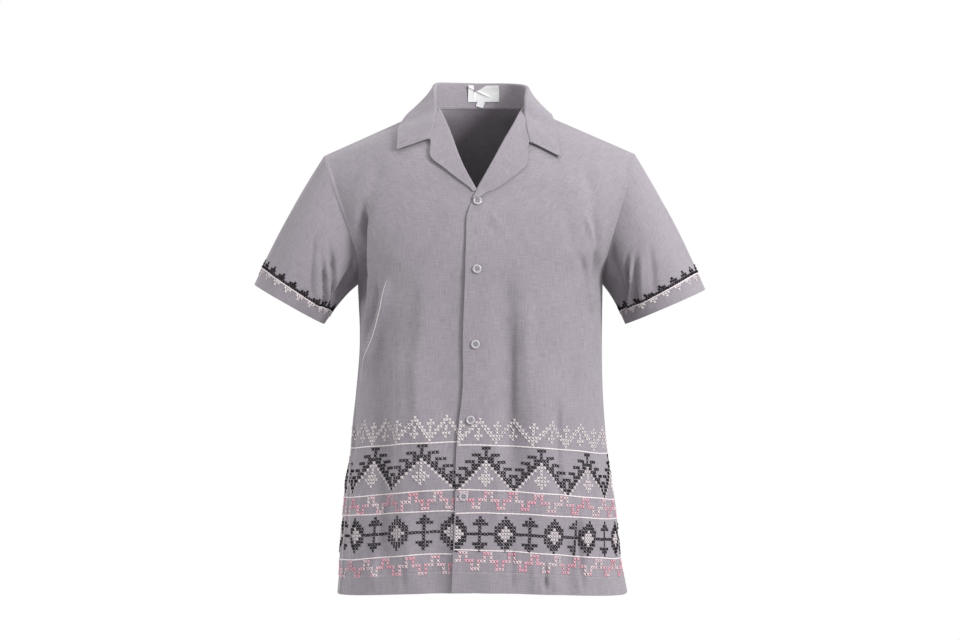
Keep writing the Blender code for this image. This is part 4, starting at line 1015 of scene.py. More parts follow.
def ramp(tree, source, output, stops):
    """A colour ramp between (position, colour) stops."""
    made = node(tree, "ShaderNodeValToRGB", [(source, output, "Fac")])
    made.color_ramp.elements[0].position = stops[0][0]
    made.color_ramp.elements[0].color = stops[0][1]
    made.color_ramp.elements[1].position = stops[-1][0]
    made.color_ramp.elements[1].color = stops[-1][1]
    for position, colour in stops[1:-1]:
        made.color_ramp.elements.new(position).color = colour
    return made


def stretched_noise(tree, place, per_metre_across, per_metre_up, detail=2.0, roughness=0.6):
    """Noise on the cloth's own UV in metres, with its grain's size given each way."""
    scaled = node(tree, "ShaderNodeMapping", [(place, "UV", "Vector")],
                  set_Scale=(per_metre_across, per_metre_up, 1.0))
    return node(tree, "ShaderNodeTexNoise", [(scaled, "Vector", "Vector")], set_Scale=1.0,
                set_Detail=detail, set_Roughness=roughness)


def multiplied(tree, first, second):
    """The colours of two ramps multiplied."""
    made = node(tree, "ShaderNodeMix", [(first, "Color", 6), (second, "Color", 7)],
                data_type="RGBA", blend_type="MULTIPLY")
    made.inputs[0].default_value = 1.0
    return made.outputs[2]


def summed(tree, first, second, output="Fac"):
    """A node's output plus a noise's."""
    return node(tree, "ShaderNodeMath", [(first, output, 0), (second, "Fac", 1)],
                operation="ADD")


def finished(tree, shader, colour, height=None, strength=0.0, distance=0.0):
    """Links a colour to the shader, and a bump from a height's output if there is one."""
    tree.links.new(colour, shader.inputs["Base Color"])
    if height is not None:
        bump = node(tree, "ShaderNodeBump", set_Strength=strength, set_Distance=distance)
        tree.links.new(height, bump.inputs["Height"])
        tree.links.new(bump.outputs["Normal"], shader.inputs["Normal"])


def chambray(settings):
    """Grey chambray, plain woven from a grey warp and a paler, mauve weft.

    Close up the eye sees a fine heather: single yarns 0.35 mm apart with thick and thin
    places. The picture shows 1.4 mm a pixel, so the yarns are drawn as a grain of about
    1 mm, and the slubs as streaks 1 mm thick and 12 to 30 mm long, both ways. It is matt,
    with a little fuzz that lightens it where it turns away.
    """
    material, tree, shader = finish_material(CHAMBRAY, 0.92, sheen=0.12, specular=0.2)
    place = node(tree, "ShaderNodeTexCoord")
    warp = stretched_noise(tree, place, 1000.0, 45.0)
    weft = stretched_noise(tree, place, 55.0, 1000.0)
    grain = stretched_noise(tree, place, 900.0, 900.0, detail=3.0, roughness=0.75)
    cloudy = stretched_noise(tree, place, 14.0, 9.0)
    both = summed(tree, summed(tree, warp, weft), grain, "Value")
    middle = node(tree, "ShaderNodeMath", [(both, "Value", 0)], operation="DIVIDE")
    middle.inputs[1].default_value = 3.0
    dark, pale = settings.cloth_dark, settings.cloth_pale
    halfway = [(a + b) / 2 for a, b in zip(dark, pale)]
    heather = ramp(tree, middle, "Value", [(0.36, (*dark, 1.0)), (0.50, (*halfway, 1.0)),
                                           (0.64, (*pale, 1.0))])
    patch = ramp(tree, cloudy, "Fac", [(0.35, (0.955, 0.955, 0.965, 1.0)),
                                       (0.65, (1.0, 1.0, 1.0, 1.0))])
    finished(tree, shader, multiplied(tree, heather, patch), middle.outputs["Value"], 0.35, 0.0006)
    return material


def embroidery_cotton(name, colours, roughness, sheen, specular=0.3):
    """Stranded embroidery cotton: soft twisted strands, slightly lustrous, on Object noise.

    The strands are 0.3 mm thick and are drawn about 0.6 mm, so that they show at all. The
    two or more colours run into each other along the dye attribute, as in dip-dyed thread.
    """
    material, tree, shader = finish_material(name, roughness, sheen=sheen, specular=specular)
    place = node(tree, "ShaderNodeTexCoord")
    strands = node(tree, "ShaderNodeTexNoise", [(place, "Object", "Vector")], set_Scale=1600.0,
                   set_Detail=2.0)
    dye_and_shade = node(tree, "ShaderNodeAttribute", attribute_name="dye_and_shade")
    stops = [(i / (len(colours) - 1), colour) for i, colour in enumerate(colours)]
    dyed = ramp(tree, dye_and_shade, "Fac", stops)
    shade = ramp(tree, strands, "Fac", [(0.3, (0.78, 0.76, 0.76, 1.0)),
                                        (0.7, (1.0, 1.0, 1.0, 1.0))])
    finished(tree, shader, multiplied(tree, dyed, shade), strands.outputs["Fac"], 0.4, 0.0002)
    return material


def satin_tape():
    """White woven satin label tape: bright, with a soft gleam along its weft.

    Satin floats are under 0.2 mm apart, and are drawn as streaks 0.5 mm wide.
    """
    material, tree, shader = finish_material("white_satin_tape", 0.48, sheen=0.05, specular=0.45)
    place = node(tree, "ShaderNodeTexCoord")
    floats = stretched_noise(tree, place, 90.0, 2000.0, detail=1.0)
    colour = ramp(tree, floats, "Fac", [(0.3, linear("#A4A4A6")), (0.7, linear("#B2B2B2"))])
    finished(tree, shader, colour.outputs["Color"], floats.outputs["Fac"], 0.25, 0.0003)
    return material


def button_resin(settings):
    """Cast polyester resin, turned and polished: pale grey, pearly, with its dish painted darker as
    shade.

    The clouds are 3 to 4 mm across, and IOR is resin's 1.55. The dish inside the rim is painted at
    two thirds of the resin's colour, as the shade of its recess.
    """
    material, tree, shader = finish_material("grey_pearl_resin", 0.28, specular=0.5, coat=0.25)
    shader.inputs["IOR"].default_value = 1.55
    place = node(tree, "ShaderNodeTexCoord")
    clouds = node(tree, "ShaderNodeTexNoise", [(place, "Object", "Vector")], set_Scale=280.0,
                  set_Detail=3.0, set_Distortion=0.8)
    pearl = ramp(tree, clouds, "Fac", [(0.35, (0.86, 0.86, 0.86, 1.0)),
                                       (0.65, (1.0, 1.0, 1.0, 1.0))])
    # ring reads the mask of the dish inside the rim; body paints that dish darker, at two thirds of
    # the resin's colour, as painted shade of the recess
    ring = node(tree, "ShaderNodeAttribute", attribute_name="dye_and_shade")
    painted_dish_shade = (*[value * 0.66 for value in settings.button_colour], 1.0)
    body = ramp(tree, ring, "Fac", [(0.0, painted_dish_shade), (1.0, (*settings.button_colour, 1.0))])
    finished(tree, shader, multiplied(tree, body, pearl))
    return material


def studio_floor():
    """Matt white painted studio floor, with a very faint roller texture of 8 mm."""
    material, tree, shader = finish_material("white_floor_paint", 0.85, specular=0.1)
    place = node(tree, "ShaderNodeTexCoord")
    roller = node(tree, "ShaderNodeTexNoise", [(place, "Object", "Vector")], set_Scale=120.0)
    colour = ramp(tree, roller, "Fac", [(0.3, linear("#BABABA")), (0.7, linear("#BEBEBE"))])
    finished(tree, shader, colour.outputs["Color"])
    return material


def cloth_finish():
    """The shirt's one chambray material, made once."""
    return bpy.data.materials.get(CHAMBRAY) or chambray(bpy.context.scene.shirt)


# ---------------------------------------------------------------- the pieces

def make_panels(settings):
    """Both fronts and the back, on the solids' sections."""
    cuts = {"front_left": ((0.325, 0.735), 0.192), "front_right": ((0.245, 0.735), 0.167),
            "back": ((0.580, 0.770), 0.370)}
    for name, (flat, area) in cuts.items():
        cloth = shirt_cloths()[name]
        uv = np.stack((cloth.arc, cloth.height), axis=-1)
        piece = cloth_wall(name + "_cloth", cloth.points, cloth.normals, uv,
                           settings.cloth_thickness, cloth_finish())
        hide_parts(name)


def make_sleeves(settings):
    """Both sleeves, each a tube from its armhole to its cuff."""
    for name in ("sleeve_left", "sleeve_right"):
        cloth = shirt_cloths()[name]
        uv = np.stack((cloth.arc, cloth.height), axis=-1)[:, :-1]
        piece = cloth_wall(name + "_cloth", cloth.points, cloth.normals, uv,
                           settings.cloth_thickness, cloth_finish(), ring=True)
        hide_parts(name)


def folded_section(root, top, edge, outward, roll, drop):
    """Middle lines of a fold: up the stand, half a circle of radius roll, down a parabola.

    The parabola's handle is drop of its length along the stand; at drop 0 it is straight.
    """
    up = unit(top - root)
    away = unit(outward - (outward * up).sum(axis=-1, keepdims=True) * up)
    roll = roll[:, None]
    stand = [root + (top - root) * share for share in np.linspace(0.0, 1.0, STAND_STEPS + 1)[:-1]]
    turns = [top + away * roll * (1.0 - math.cos(angle)) + up * roll * math.sin(angle)
             for angle in np.linspace(0.0, math.pi, ROLL_STEPS + 1)]
    start = turns[-1]
    length = np.linalg.norm(edge - start, axis=1, keepdims=True)
    drop = drop[:, None]
    bend = start - up * drop * length + (edge - start) * (0.5 - drop)
    fall = [(1 - s) ** 2 * start + 2 * (1 - s) * s * bend + s ** 2 * edge
            for s in np.linspace(0.0, 1.0, FALL_STEPS + 1)[1:]]
    return np.stack(stand + turns + fall, axis=1)


def finer(values, steps):
    """Straight steps between the rows of an array."""
    values = np.asarray(values, dtype=float)
    place = np.linspace(0, len(values) - 1, (len(values) - 1) * steps + 1)
    low = np.minimum(place.astype(int), len(values) - 2)
    part = (place - low).reshape((-1,) + (1,) * (values.ndim - 1))
    return between(values[low], values[low + 1], part)


def smoother(values, steps):
    """Hermite steps between the rows of an array."""
    values = np.asarray(values, dtype=float)
    wanted = np.linspace(0, len(values) - 1, (len(values) - 1) * steps + 1)
    return through_sections(np.arange(len(values)), values, wanted)


def rim_frame(rim, normals):
    """Middle of the wall along a neckline, moved just past the edge, and its way on."""
    along = np.gradient(rim, axis=0)
    onward = unit(np.cross(normals, along))
    onward *= np.sign((onward * (NECK_MIDDLE - rim)).sum(axis=1, keepdims=True))
    return rim - normals * WALL / 2 + onward * STAND_GAP, onward


def lying_on(fronts, place, height):
    """A given point, or an (x, z) place on the fronts moved out by height."""
    if len(place) == 3:
        return np.array(place)
    point, normal = on_front(fronts[RIGHT if place[0] > 0 else LEFT], *place)
    return point + normal * height


def blurred(values, reach):
    """Moving average of the rows over reach rows to either side."""
    kernel = np.ones(2 * reach + 1) / (2 * reach + 1)
    padded = np.concatenate((np.repeat(values[:1], reach, 0), values,
                             np.repeat(values[-1:], reach, 0)))
    return np.stack([np.convolve(padded[:, axis], kernel, "valid")
                     for axis in range(values.shape[1])], axis=-1)


def folded_cloth(lines, roll, lift, flat, drop):
    """Middle surface of a folded collar or lapel, kept clear of the panels below it."""
    cloths = [shirt_cloths()[name] for name in ("front_left", "front_right", "back")]
    root, top, edge, outward = lines
    middle = folded_section(root, top, edge, outward, roll, drop)
    fall_from = STAND_STEPS + ROLL_STEPS
    share = np.clip((np.arange(middle.shape[1]) - fall_from) / FALL_STEPS, 0.0, 1.0)
    over_stand = 1.0 - smooth_step(share * 1.6)
    over_fold = (STAND_LIFT - LIE_GAP + 2.0 * roll) * flat
    clearance = (WALL / 2 + LIE_GAP + over_fold[:, None] * over_stand[None, :]
                 + lift[:, None] * share[None, :])
    reach = PER_STATION // 2
    lying = np.convolve(flat > 0.0, np.ones(2 * reach + 1), "same") > 0
    near, normal = nearest_on(cloths, middle[:, :fall_from + 1])
    short = WALL / 2 + STAND_LIFT - ((middle[:, :fall_from + 1] - near) * normal).sum(axis=-1)
    worst = short.argmax(axis=1)
    row = np.arange(len(middle))
    rise = normal[row, worst] * np.clip(short[row, worst], 0.0, None)[:, None] * lying[:, None]
    middle = middle + blurred(rise, reach)[:, None] * over_stand[None, :, None]
    fall = slice(fall_from + 1, None)
    near, normal = nearest_on(cloths, middle[:, fall])
    away = ((middle[:, fall] - near) * normal).sum(axis=-1)
    middle[:, fall] += normal * np.clip(clearance[:, fall] - away, 0.0, None)[..., None]
    return middle


@lru_cache(maxsize=1)
def collar_cloth():
    """The collar's middle surface, from notch to notch round the back of the neck."""
    fronts, back = both_fronts(), shirt_cloths()["back"]
    upper = back.levels > LAPEL_TO - 1e-6
    half = (back.points.shape[1] - 1) // 2
    reach = int(round(half * NECK_SHARE))
    neck = slice(half - reach, half + reach + 1)
    rim = np.concatenate((fronts[LEFT].points[upper, 0], back.points[-1, neck],
                          fronts[RIGHT].points[upper, 0][::-1]))
    rim_normals = np.concatenate((fronts[LEFT].normals[upper, 0], back.normals[-1, neck],
                                  fronts[RIGHT].normals[upper, 0][::-1]))
    keep = np.concatenate(((True,), np.linalg.norm(np.diff(rim, axis=0), axis=1) > 0.0006))
    rim, onward = rim_frame(rim[keep], rim_normals[keep])
    rim = finer(rim, 4)
    stand_lie = WALL / 2 + STAND_LIFT
    top = [lying_on(fronts, s.top, stand_lie) for s in COLLAR_STATIONS]
    edge = [lying_on(fronts, s.edge, WALL / 2 + LIE_GAP + s.lift) for s in COLLAR_STATIONS]
    root, outward = [], []
    for station, top_point, edge_point in zip(COLLAR_STATIONS, top, edge):
        if station.root is None:
            nearest = np.argmin(np.linalg.norm(rim - (top_point + (0, 0, -0.02)), axis=1))
            root.append(rim[nearest])
            outward.append(unit(edge_point - top_point))
        else:
            root.append(lying_on(fronts, station.root, stand_lie))
            outward.append(on_front(fronts[RIGHT if station.root[0] > 0 else LEFT],
                                    *station.root)[1])
    flat = finer([0.0 if s.root is None else 1.0 for s in COLLAR_STATIONS], PER_STATION)
    root = smoother(root, PER_STATION)
    free = flat < 1e-6
    gaps = np.linalg.norm(root[free][:, None] - rim[None], axis=-1)
    root[free] = rim[gaps.argmin(axis=1)]
    root = blurred(root, 2)
    lines = (root, smoother(top, PER_STATION), smoother(edge, PER_STATION),
             unit(smoother(outward, PER_STATION)))
    roll = finer([s.roll for s in COLLAR_STATIONS], PER_STATION)
    lift = finer([s.lift for s in COLLAR_STATIONS], PER_STATION)
    drop = np.interp(np.linspace(0, 14, len(roll)), (0, 2, 3, 5, 6, 8, 9, 11, 12, 14),
                     (0.02, 0.10, 0.0, 0.0, 0.25, 0.25, 0.0, 0.0, 0.10, 0.02))
    return folded_cloth(lines, roll, lift, flat, drop)


def lapel_cloth(name):
    """A lapel's middle surface, from the neck opening's foot up to the collar."""
    side, stations = LAPELS[name]
    fronts = both_fronts()
    panel = fronts[side]
    wanted = finer([s.level for s in stations], PER_STATION)
    row = np.interp(wanted, panel.levels, np.arange(len(panel.levels)))
    low = np.clip(row.astype(int), 0, len(panel.levels) - 2)
    part = (row - low)[:, None]
    rim = between(panel.points[low, 0], panel.points[low + 1, 0], part)
    rim_normals = unit(between(panel.normals[low, 0], panel.normals[low + 1, 0], part))
    root, onward = rim_frame(rim, rim_normals)
    stand = smoother([s.stand for s in stations], PER_STATION)
    edge = [lying_on(fronts, s.edge, WALL / 2 + LIE_GAP + s.lift) for s in stations]
    lines = (root, root + onward * stand[:, None], smoother(edge, PER_STATION), rim_normals)
    roll = finer([s.roll for s in stations], PER_STATION)
    lift = finer([s.lift for s in stations], PER_STATION)
    return folded_cloth(lines, roll, lift, np.zeros(len(roll)), np.full(len(roll), 0.30))


def make_collar(settings):
    """The folded collar and both lapels, a little thicker than the body: two layers."""
    surfaces = {"collar": (collar_cloth(), (0.470, 0.085), 0.038),
                "lapel_left": (lapel_cloth("lapel_left"), (0.150, 0.080), 0.0080),
                "lapel_right": (lapel_cloth("lapel_right"), (0.145, 0.080), 0.0075)}
    for name, (middle, flat, area) in surfaces.items():
        uv = np.stack((run_lengths(middle, 0), run_lengths(middle, 1)), axis=-1)
        normals = grid_normals(middle, 1.0)
        piece = cloth_wall(name + "_cloth", middle + normals * settings.collar_thickness / 2,
                           normals, uv, settings.collar_thickness, cloth_finish())
        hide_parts(name)


def make_labels(settings):
    """The bare white label on the stand, creased and dog-eared, and the small tab below it."""
    collar = collar_cloth()
    behind = collar[collar[:, 0, 1] > 0.0]
    foot, fold = behind[:, 0], behind[:, STAND_STEPS]
    material = satin_tape()
    for tab in TABS:
        s, t = np.meshgrid(np.linspace(-0.5, 0.5, 81), np.linspace(-0.5, 0.5, 41))
        u, v = s * tab.wide, t * tab.tall
        rise = np.full(u.shape, tab.stand_off)
        if tab.name == "neck_label":
            # its upper left corner is folded down behind, so the edge dips and climbs again
            dip = (smooth_step((u + 0.0158) / 0.0012)
                   * np.clip((0.0045 - u) / 0.0190, 0.0, 1.0) * 0.0115)
            v -= dip * (t + 0.5) ** 1.5
            crease = v + 0.45 * u + 0.0010
            rise += 0.0016 * np.exp(-(crease / 0.0016) ** 2) * smooth_step((0.016 - u) / 0.02)
            rise += 0.0022 * smooth_step((-0.011 - u) / 0.006) * smooth_step(0.5 + t)
            rise += 0.0010 * smooth_step((v - 0.002) / 0.010) * smooth_step((u + 0.012) / 0.006)
        turn = math.radians(tab.turn_deg)
        x = tab.x + u * math.cos(turn) - v * math.sin(turn)
        up = tab.up + u * math.sin(turn) + v * math.cos(turn)
        low, high = read_along(x, foot[:, 0], foot), read_along(x, fold[:, 0], fold)
        sheet = low + unit(high - low) * up[..., None]
        neckward = grid_normals(sheet, 1.0)
        front = sheet + neckward * (WALL / 2 + tab.thick + rise[..., None])
        piece = cloth_wall(tab.name + "_tape", front, neckward, np.stack((u, v), axis=-1),
                           tab.thick, material, sharp_deg=50.0)
        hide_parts(tab.name)


def button_surface():
    """A button: height over (radius, angle), with a rounded rim, a dish and four holes.

    height = rim profile(r) - dish - depth * sum of S-curves over each hole's distance.
    """
    angles = np.arange(BUTTON_SIDES) * math.tau / BUTTON_SIDES
    inner = np.linspace(0.0, BUTTON_RADIUS * 0.995, 34)[1:]
    r, a = np.meshgrid(inner, angles, indexing="ij")
    x, y = r * np.cos(a), r * np.sin(a)
    share = r / BUTTON_RADIUS
    rounded = BUTTON_THICK * 0.55 + BUTTON_THICK * 0.45 * np.sqrt(
        np.clip(1.0 - ((share - 0.80) / 0.20).clip(0.0, 1.0) ** 2, 0.0, 1.0))
    height = rounded - DISH_DEEP * smooth_step((0.76 - share) / 0.14)
    for hole_x, hole_y in ((1, 1), (1, -1), (-1, 1), (-1, -1)):
        away = np.hypot(x - hole_x * HOLE_OFF, y - hole_y * HOLE_OFF)
        height -= HOLE_DEEP * smooth_step((HOLE_RADIUS - away) / 0.00035)
    lower = np.stack([np.stack((BUTTON_RADIUS * wide * np.cos(angles),
                                BUTTON_RADIUS * wide * np.sin(angles),
                                np.full(BUTTON_SIDES, BUTTON_THICK * tall)), axis=-1)
                      for wide, tall in ((1.0, 0.45), (0.88, 0.0))])
    rings = np.concatenate((np.stack((x, y, height), axis=-1), lower))
    tips = ((0.0, 0.0, BUTTON_THICK - DISH_DEEP), (0.0, 0.0, 0.0))
    points = np.concatenate((rings.reshape(-1, 3), tips))
    index = ring_index(len(rings), BUTTON_SIDES)
    quads = grid_faces(index)[:, [0, 3, 2, 1]]
    caps = np.concatenate((fan(len(points) - 2, index[0])[:, [2, 0, 1]],
                           fan(len(points) - 1, index[-1])[:, [1, 0, 2]]))
    # 0 in the dish inside the rim and 1 on the rim and below: the mask where the resin paints the
    # dish's shade
    dye_and_shade = np.concatenate((smooth_step((share - 0.64) / 0.08).ravel(), np.ones(2 * BUTTON_SIDES),
                          (0.0, 1.0)))
    return points, [quads, caps], dye_and_shade


def make_buttons(settings):
    """Five four-hole buttons, each sewn with two parallel runs of grey thread."""
    panel = shirt_cloths()["front_left"]
    resin = button_resin(settings)
    thread = embroidery_cotton("grey_sewing_thread", [linear("#8E8A90"), linear("#97939A")],
                               0.7, 0.1)
    points, faces, dye_and_shade = button_surface()
    for number, place in enumerate(BUTTONS, start=1):
        middle, normal = on_front(panel, *place)
        across = unit(np.cross(np.array((0.0, 0.0, 1.0)), normal))
        up = unit(np.cross(normal, across))
        turned = points @ np.stack((across, up, normal)) + middle + normal * 0.0004
        piece = mesh_piece(f"button_{number}_shell", turned, faces, resin, dye_and_shade=dye_and_shade, sharp_deg=40.0)
        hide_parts(f"button_{number}")
        dish = middle + normal * (BUTTON_THICK - 0.0007)
        runs = np.array([dish + across * side * HOLE_OFF for side in (-1, 1)])
        bar_points, bar_faces = bars(runs - up * 0.0009, runs + up * 0.0009,
                                     np.array([normal, normal]), 0.00035, 0.0003, 0.0002)
        sewing = mesh_piece(f"button_{number}_thread", bar_points, bar_faces, thread,
                            dye_and_shade=np.full(len(bar_points), 0.5))


def repeated_cells(chart, period, repeats):
    """Columns, rows and thread letters of repeats of a chart, mirrored about its middle."""
    cells = []
    for row, line in enumerate(chart):
        for column, letter in enumerate(line):
            if letter == ".":
                continue
            cells.append((column, row, letter))
            if column and 2 * column != period:
                cells.append((-column, row, letter))
    columns, rows, letters = (np.array(part) for part in zip(*cells))
    shifts = np.repeat(repeats * period, len(cells))
    return (np.tile(columns, len(repeats)) + shifts, np.tile(rows, len(repeats)),
            np.tile(letters, len(repeats)))


def column_arc(band, panel, columns, total):
    """Where the chart's columns lie along a panel, in metres from its first edge."""
    known = COLUMN_ARCS.get((band.name, panel))
    if known is None:
        return total / 2 + columns * STITCH_PITCH
    at, arc = np.array(known).T
    arc = arc / 1000.0
    inside = np.interp(columns, at, arc)
    before = np.clip(columns - at[0], None, 0.0) * STITCH_PITCH
    after = np.clip(columns - at[-1], 0.0, None) * STITCH_PITCH
    return inside + before + after


def line_level(panel, number, share):
    """Level of a couched line at shares of a panel's width."""
    at, level = np.array(LINES[panel][number]).T
    return np.interp(share, at, level)


def cross_stitches(cloth, arc, level, wide, tall, seed, thickness=1.0):
    """Two crossed bars for each stitch, the second over the first, with a hand's unevenness."""
    generator = np.random.default_rng(seed)
    middle, across, up, normal = place_on(cloth, arc, level)
    count = len(arc)
    middle = (middle + across * generator.normal(0, 0.00018, (count, 1))
              + up * generator.normal(0, 0.00018, (count, 1)))
    turn = generator.normal(0, 0.06, (count, 1))
    across, up = across + up * turn, up - across * turn
    grow = generator.normal(1.0, 0.05, (count, 1))
    side, rise = across * wide / 2 * grow, up * tall / 2 * grow
    half = bpy.context.scene.shirt.thread_width / 2 * thickness
    first = bars(middle - side - rise, middle + side + rise, normal, half, 0.00030, 0.0001)
    second = bars(middle - side + rise, middle + side - rise, normal, half, 0.00045, 0.0003)
    return joined([first, second])


def couched_line(cloth, arc, level, half_width, lift=0.0003, tall=0.75):
    """A cord laid on the cloth along a path, pinched a little where it is held down."""
    middle, _, _, normal = place_on(cloth, arc, level)
    pinch = 1.0 - 0.16 * np.cos(np.arange(len(arc)) * 1.9)
    path = middle + normal * lift
    along = unit(np.gradient(path, axis=0))
    return tube(path, unit(np.cross(normal, along)), normal, half_width * pinch, tall)


def thread_materials(settings):
    """The three threads of the borders by letter, made once."""
    black, cream, pink, blush = ((*colour, 1.0) for colour in (
        settings.black_thread, settings.cream_thread, settings.pink_thread,
        settings.blush_thread))
    finishes = {
        "k": ("black_stranded_cotton", [black, (*(v * 1.5 for v in black[:3]), 1.0)],
              0.75, 0.0, 0.12),
        "c": ("cream_stranded_cotton", [(*(v * 0.93 for v in cream[:3]), 1.0), cream],
              0.7, 0.15, 0.3),
        "p": ("pink_variegated_cotton", [pink, blush, cream], 0.7, 0.15, 0.3)}
    return {letter: bpy.data.materials.get(finish[0]) or embroidery_cotton(*finish)
            for letter, finish in finishes.items()}


def dye_of(letter, columns, rows, seed):
    """How far each stitch's thread has run through its dyes, 0 to 1."""
    generator = np.random.default_rng(seed)
    if letter == "p":
        wave = 0.5 + 0.5 * np.sin(columns * 0.52 + rows * 0.9 + 1.3 * np.sin(columns * 0.11))
        return np.clip(0.85 * wave + generator.normal(0.0, 0.12, len(columns)), 0.0, 1.0)
    return generator.uniform(0.0, 1.0, len(columns))


def panel_stitches(cloth):
    """Every cross stitch of a panel: chart column, row, letter, arc, level and size."""
    name = cloth.name
    found = []
    for band in BANDS:
        columns, rows, letters = repeated_cells(band.chart, band.period, np.arange(-8, 9))
        middle_level = line_level(name, band.line, 0.5) + (band.top_row - 0.5 * len(band.chart)
                                                           * band.pitch) / PER_LEVEL
        total = width_at(cloth, middle_level)
        arc = column_arc(band, name, columns, total)
        level = (line_level(name, band.line, arc / total)
                 + (band.top_row - rows * band.pitch) / PER_LEVEL)
        pitch = abs(column_arc(band, name, columns + 0.5, total)
                    - column_arc(band, name, columns - 0.5, total))
        if name == "back":
            centre = cloth.arc[:, cloth.arc.shape[1] // 2]
            arc = np.interp(level, cloth.levels, centre) + columns * STITCH_PITCH
        end = np.interp(level, cloth.levels, cloth.arc[:, -1])
        keep = (arc > 0.0016) & (arc < end - 0.0020)
        for hidden in HIDDEN_COLUMNS.get((band.name, name), ()):
            keep &= columns != hidden
        found.append((columns[keep], rows[keep], letters[keep], arc[keep], level[keep],
                      np.clip(pitch[keep], 0.0036, 0.0049), np.full(keep.sum(), band.pitch)))
    return [np.concatenate(part) for part in zip(*found)]


def make_borders(settings):
    """The cross-stitch borders and couched lines round the body, split by panel and thread."""
    materials = thread_materials(settings)
    for seed, panel in enumerate(("front_left", "front_right", "back")):
        cloth = shirt_cloths()[panel]
        columns, rows, letters, arc, level, wide, tall = panel_stitches(cloth)
        for number, letter in enumerate("kcp"):
            chosen = letters == letter
            parts = [cross_stitches(cloth, arc[chosen], level[chosen], wide[chosen][:, None] * 1.04,
                                    tall[chosen][:, None] * 0.98, 10 * seed + number,
                                    0.86 if letter == "k" else 1.0)]
            dye_and_shade = dye_of(letter, columns[chosen], rows[chosen], 40 + 10 * seed + number)
            dyes = [np.tile(np.repeat(dye_and_shade, BAR_POINTS), 2)]
            if letter == "c":
                for line in range(4):
                    total = width_at(cloth, line_level(panel, line, 0.5))
                    run = np.arange(0.001, total - 0.001, CORD_STEP)
                    levels = (line_level(panel, line, run / total)
                              + 0.0045 * np.sin(run * 61.0 + line) * np.sin(run * 23.0 + 2 * line))
                    parts.append(couched_line(cloth, run, levels, settings.cord_width / 2))
                    dyes.append(np.full(len(parts[-1][0]), 0.9))
            points, faces = joined(parts)
            mesh_piece(f"{THREADS[letter]}_stitches_{panel}", points, faces, materials[letter],
                       dye_and_shade=np.concatenate(dyes))


def make_cuff_borders(settings):
    """The stepped border and couched line round each cuff."""
    materials = thread_materials(settings)
    for name, side in (("sleeve_left", RIGHT), ("sleeve_right", LEFT)):
        cloth = shirt_cloths()[name]
        total = width_at(cloth, CUFF_SHARE)

        def share_at(arc, over_edge):
            """Share along the sleeve at arcs round it, a distance from the cuff's edge."""
            return 1.0 - over_edge / evened_length(cloth, arc)

        repeats = int(round(total / (CUFF_PERIOD * CUFF_PITCH)))
        pitch = total / (CUFF_PERIOD * repeats)
        for letter, chart, first in (("k", CUFF_CHART, 2.5), ("c", CUFF_DROPS_CHART, -0.95)):
            columns, rows, _ = repeated_cells(chart, CUFF_PERIOD, np.arange(repeats))
            arc = (columns * pitch + CUFF_PHASE[side]) % total
            level = share_at(arc, CUFF_LINE + (first - rows) * CUFF_PITCH * 1.04 + 0.0010)
            parts = [cross_stitches(cloth, arc, level, np.full((len(arc), 1), pitch * 1.02),
                                    np.full((len(arc), 1), CUFF_PITCH * 1.05), 70 + side)]
            dye_and_shade = dye_of(letter, columns, rows, 75 + side)
            dyes = [np.tile(np.repeat(dye_and_shade, BAR_POINTS), 2)]
            if letter == "c":
                run = np.arange(0.0, total + 0.001, CORD_STEP)
                level = share_at(run % total, CUFF_LINE + 0.0004 * np.sin(run * 80.0))
                parts.append(couched_line(cloth, run, level, settings.cord_width / 2))
                dyes.append(np.full(len(parts[-1][0]), 0.9))
            points, faces = joined(parts)
            mesh_piece(f"{THREADS[letter]}_stitches_{name}", points, faces, materials[letter],
                       dye_and_shade=np.concatenate(dyes))


def seam_dashes(cloth, arc, level, length, half_width):
    """Machine stitches along a line: one low bar for each, end to end with small gaps."""
    middle, _, _, normal = place_on(cloth, arc, level)
    along = unit(np.gradient(middle, axis=0))
    return bars(middle - along * length / 2, middle + along * length / 2, normal, half_width,
                0.00012, 0.00002)


def lit_edge_line(cloth, corners, half_width):
    """A folded edge on a front through (x, z) corners, thinning out at both ends, drawn as a pale
    cord: a painted highlight where the fold catches the light.

    Each corner is read as an arc and a level, and the line runs straight between them.
    """
    places = np.array([seen_place(cloth, x, z) for x, z in corners])
    share = np.linspace(0.0, len(corners) - 1.0, 40 * (len(corners) - 1))
    arc, level = (np.interp(share, np.arange(len(corners)), column) for column in places.T)
    width = half_width * np.sin(math.pi * np.linspace(0.02, 0.98, len(share))) ** 0.4
    return couched_line(cloth, arc, level, width, 0.0002, 0.8)


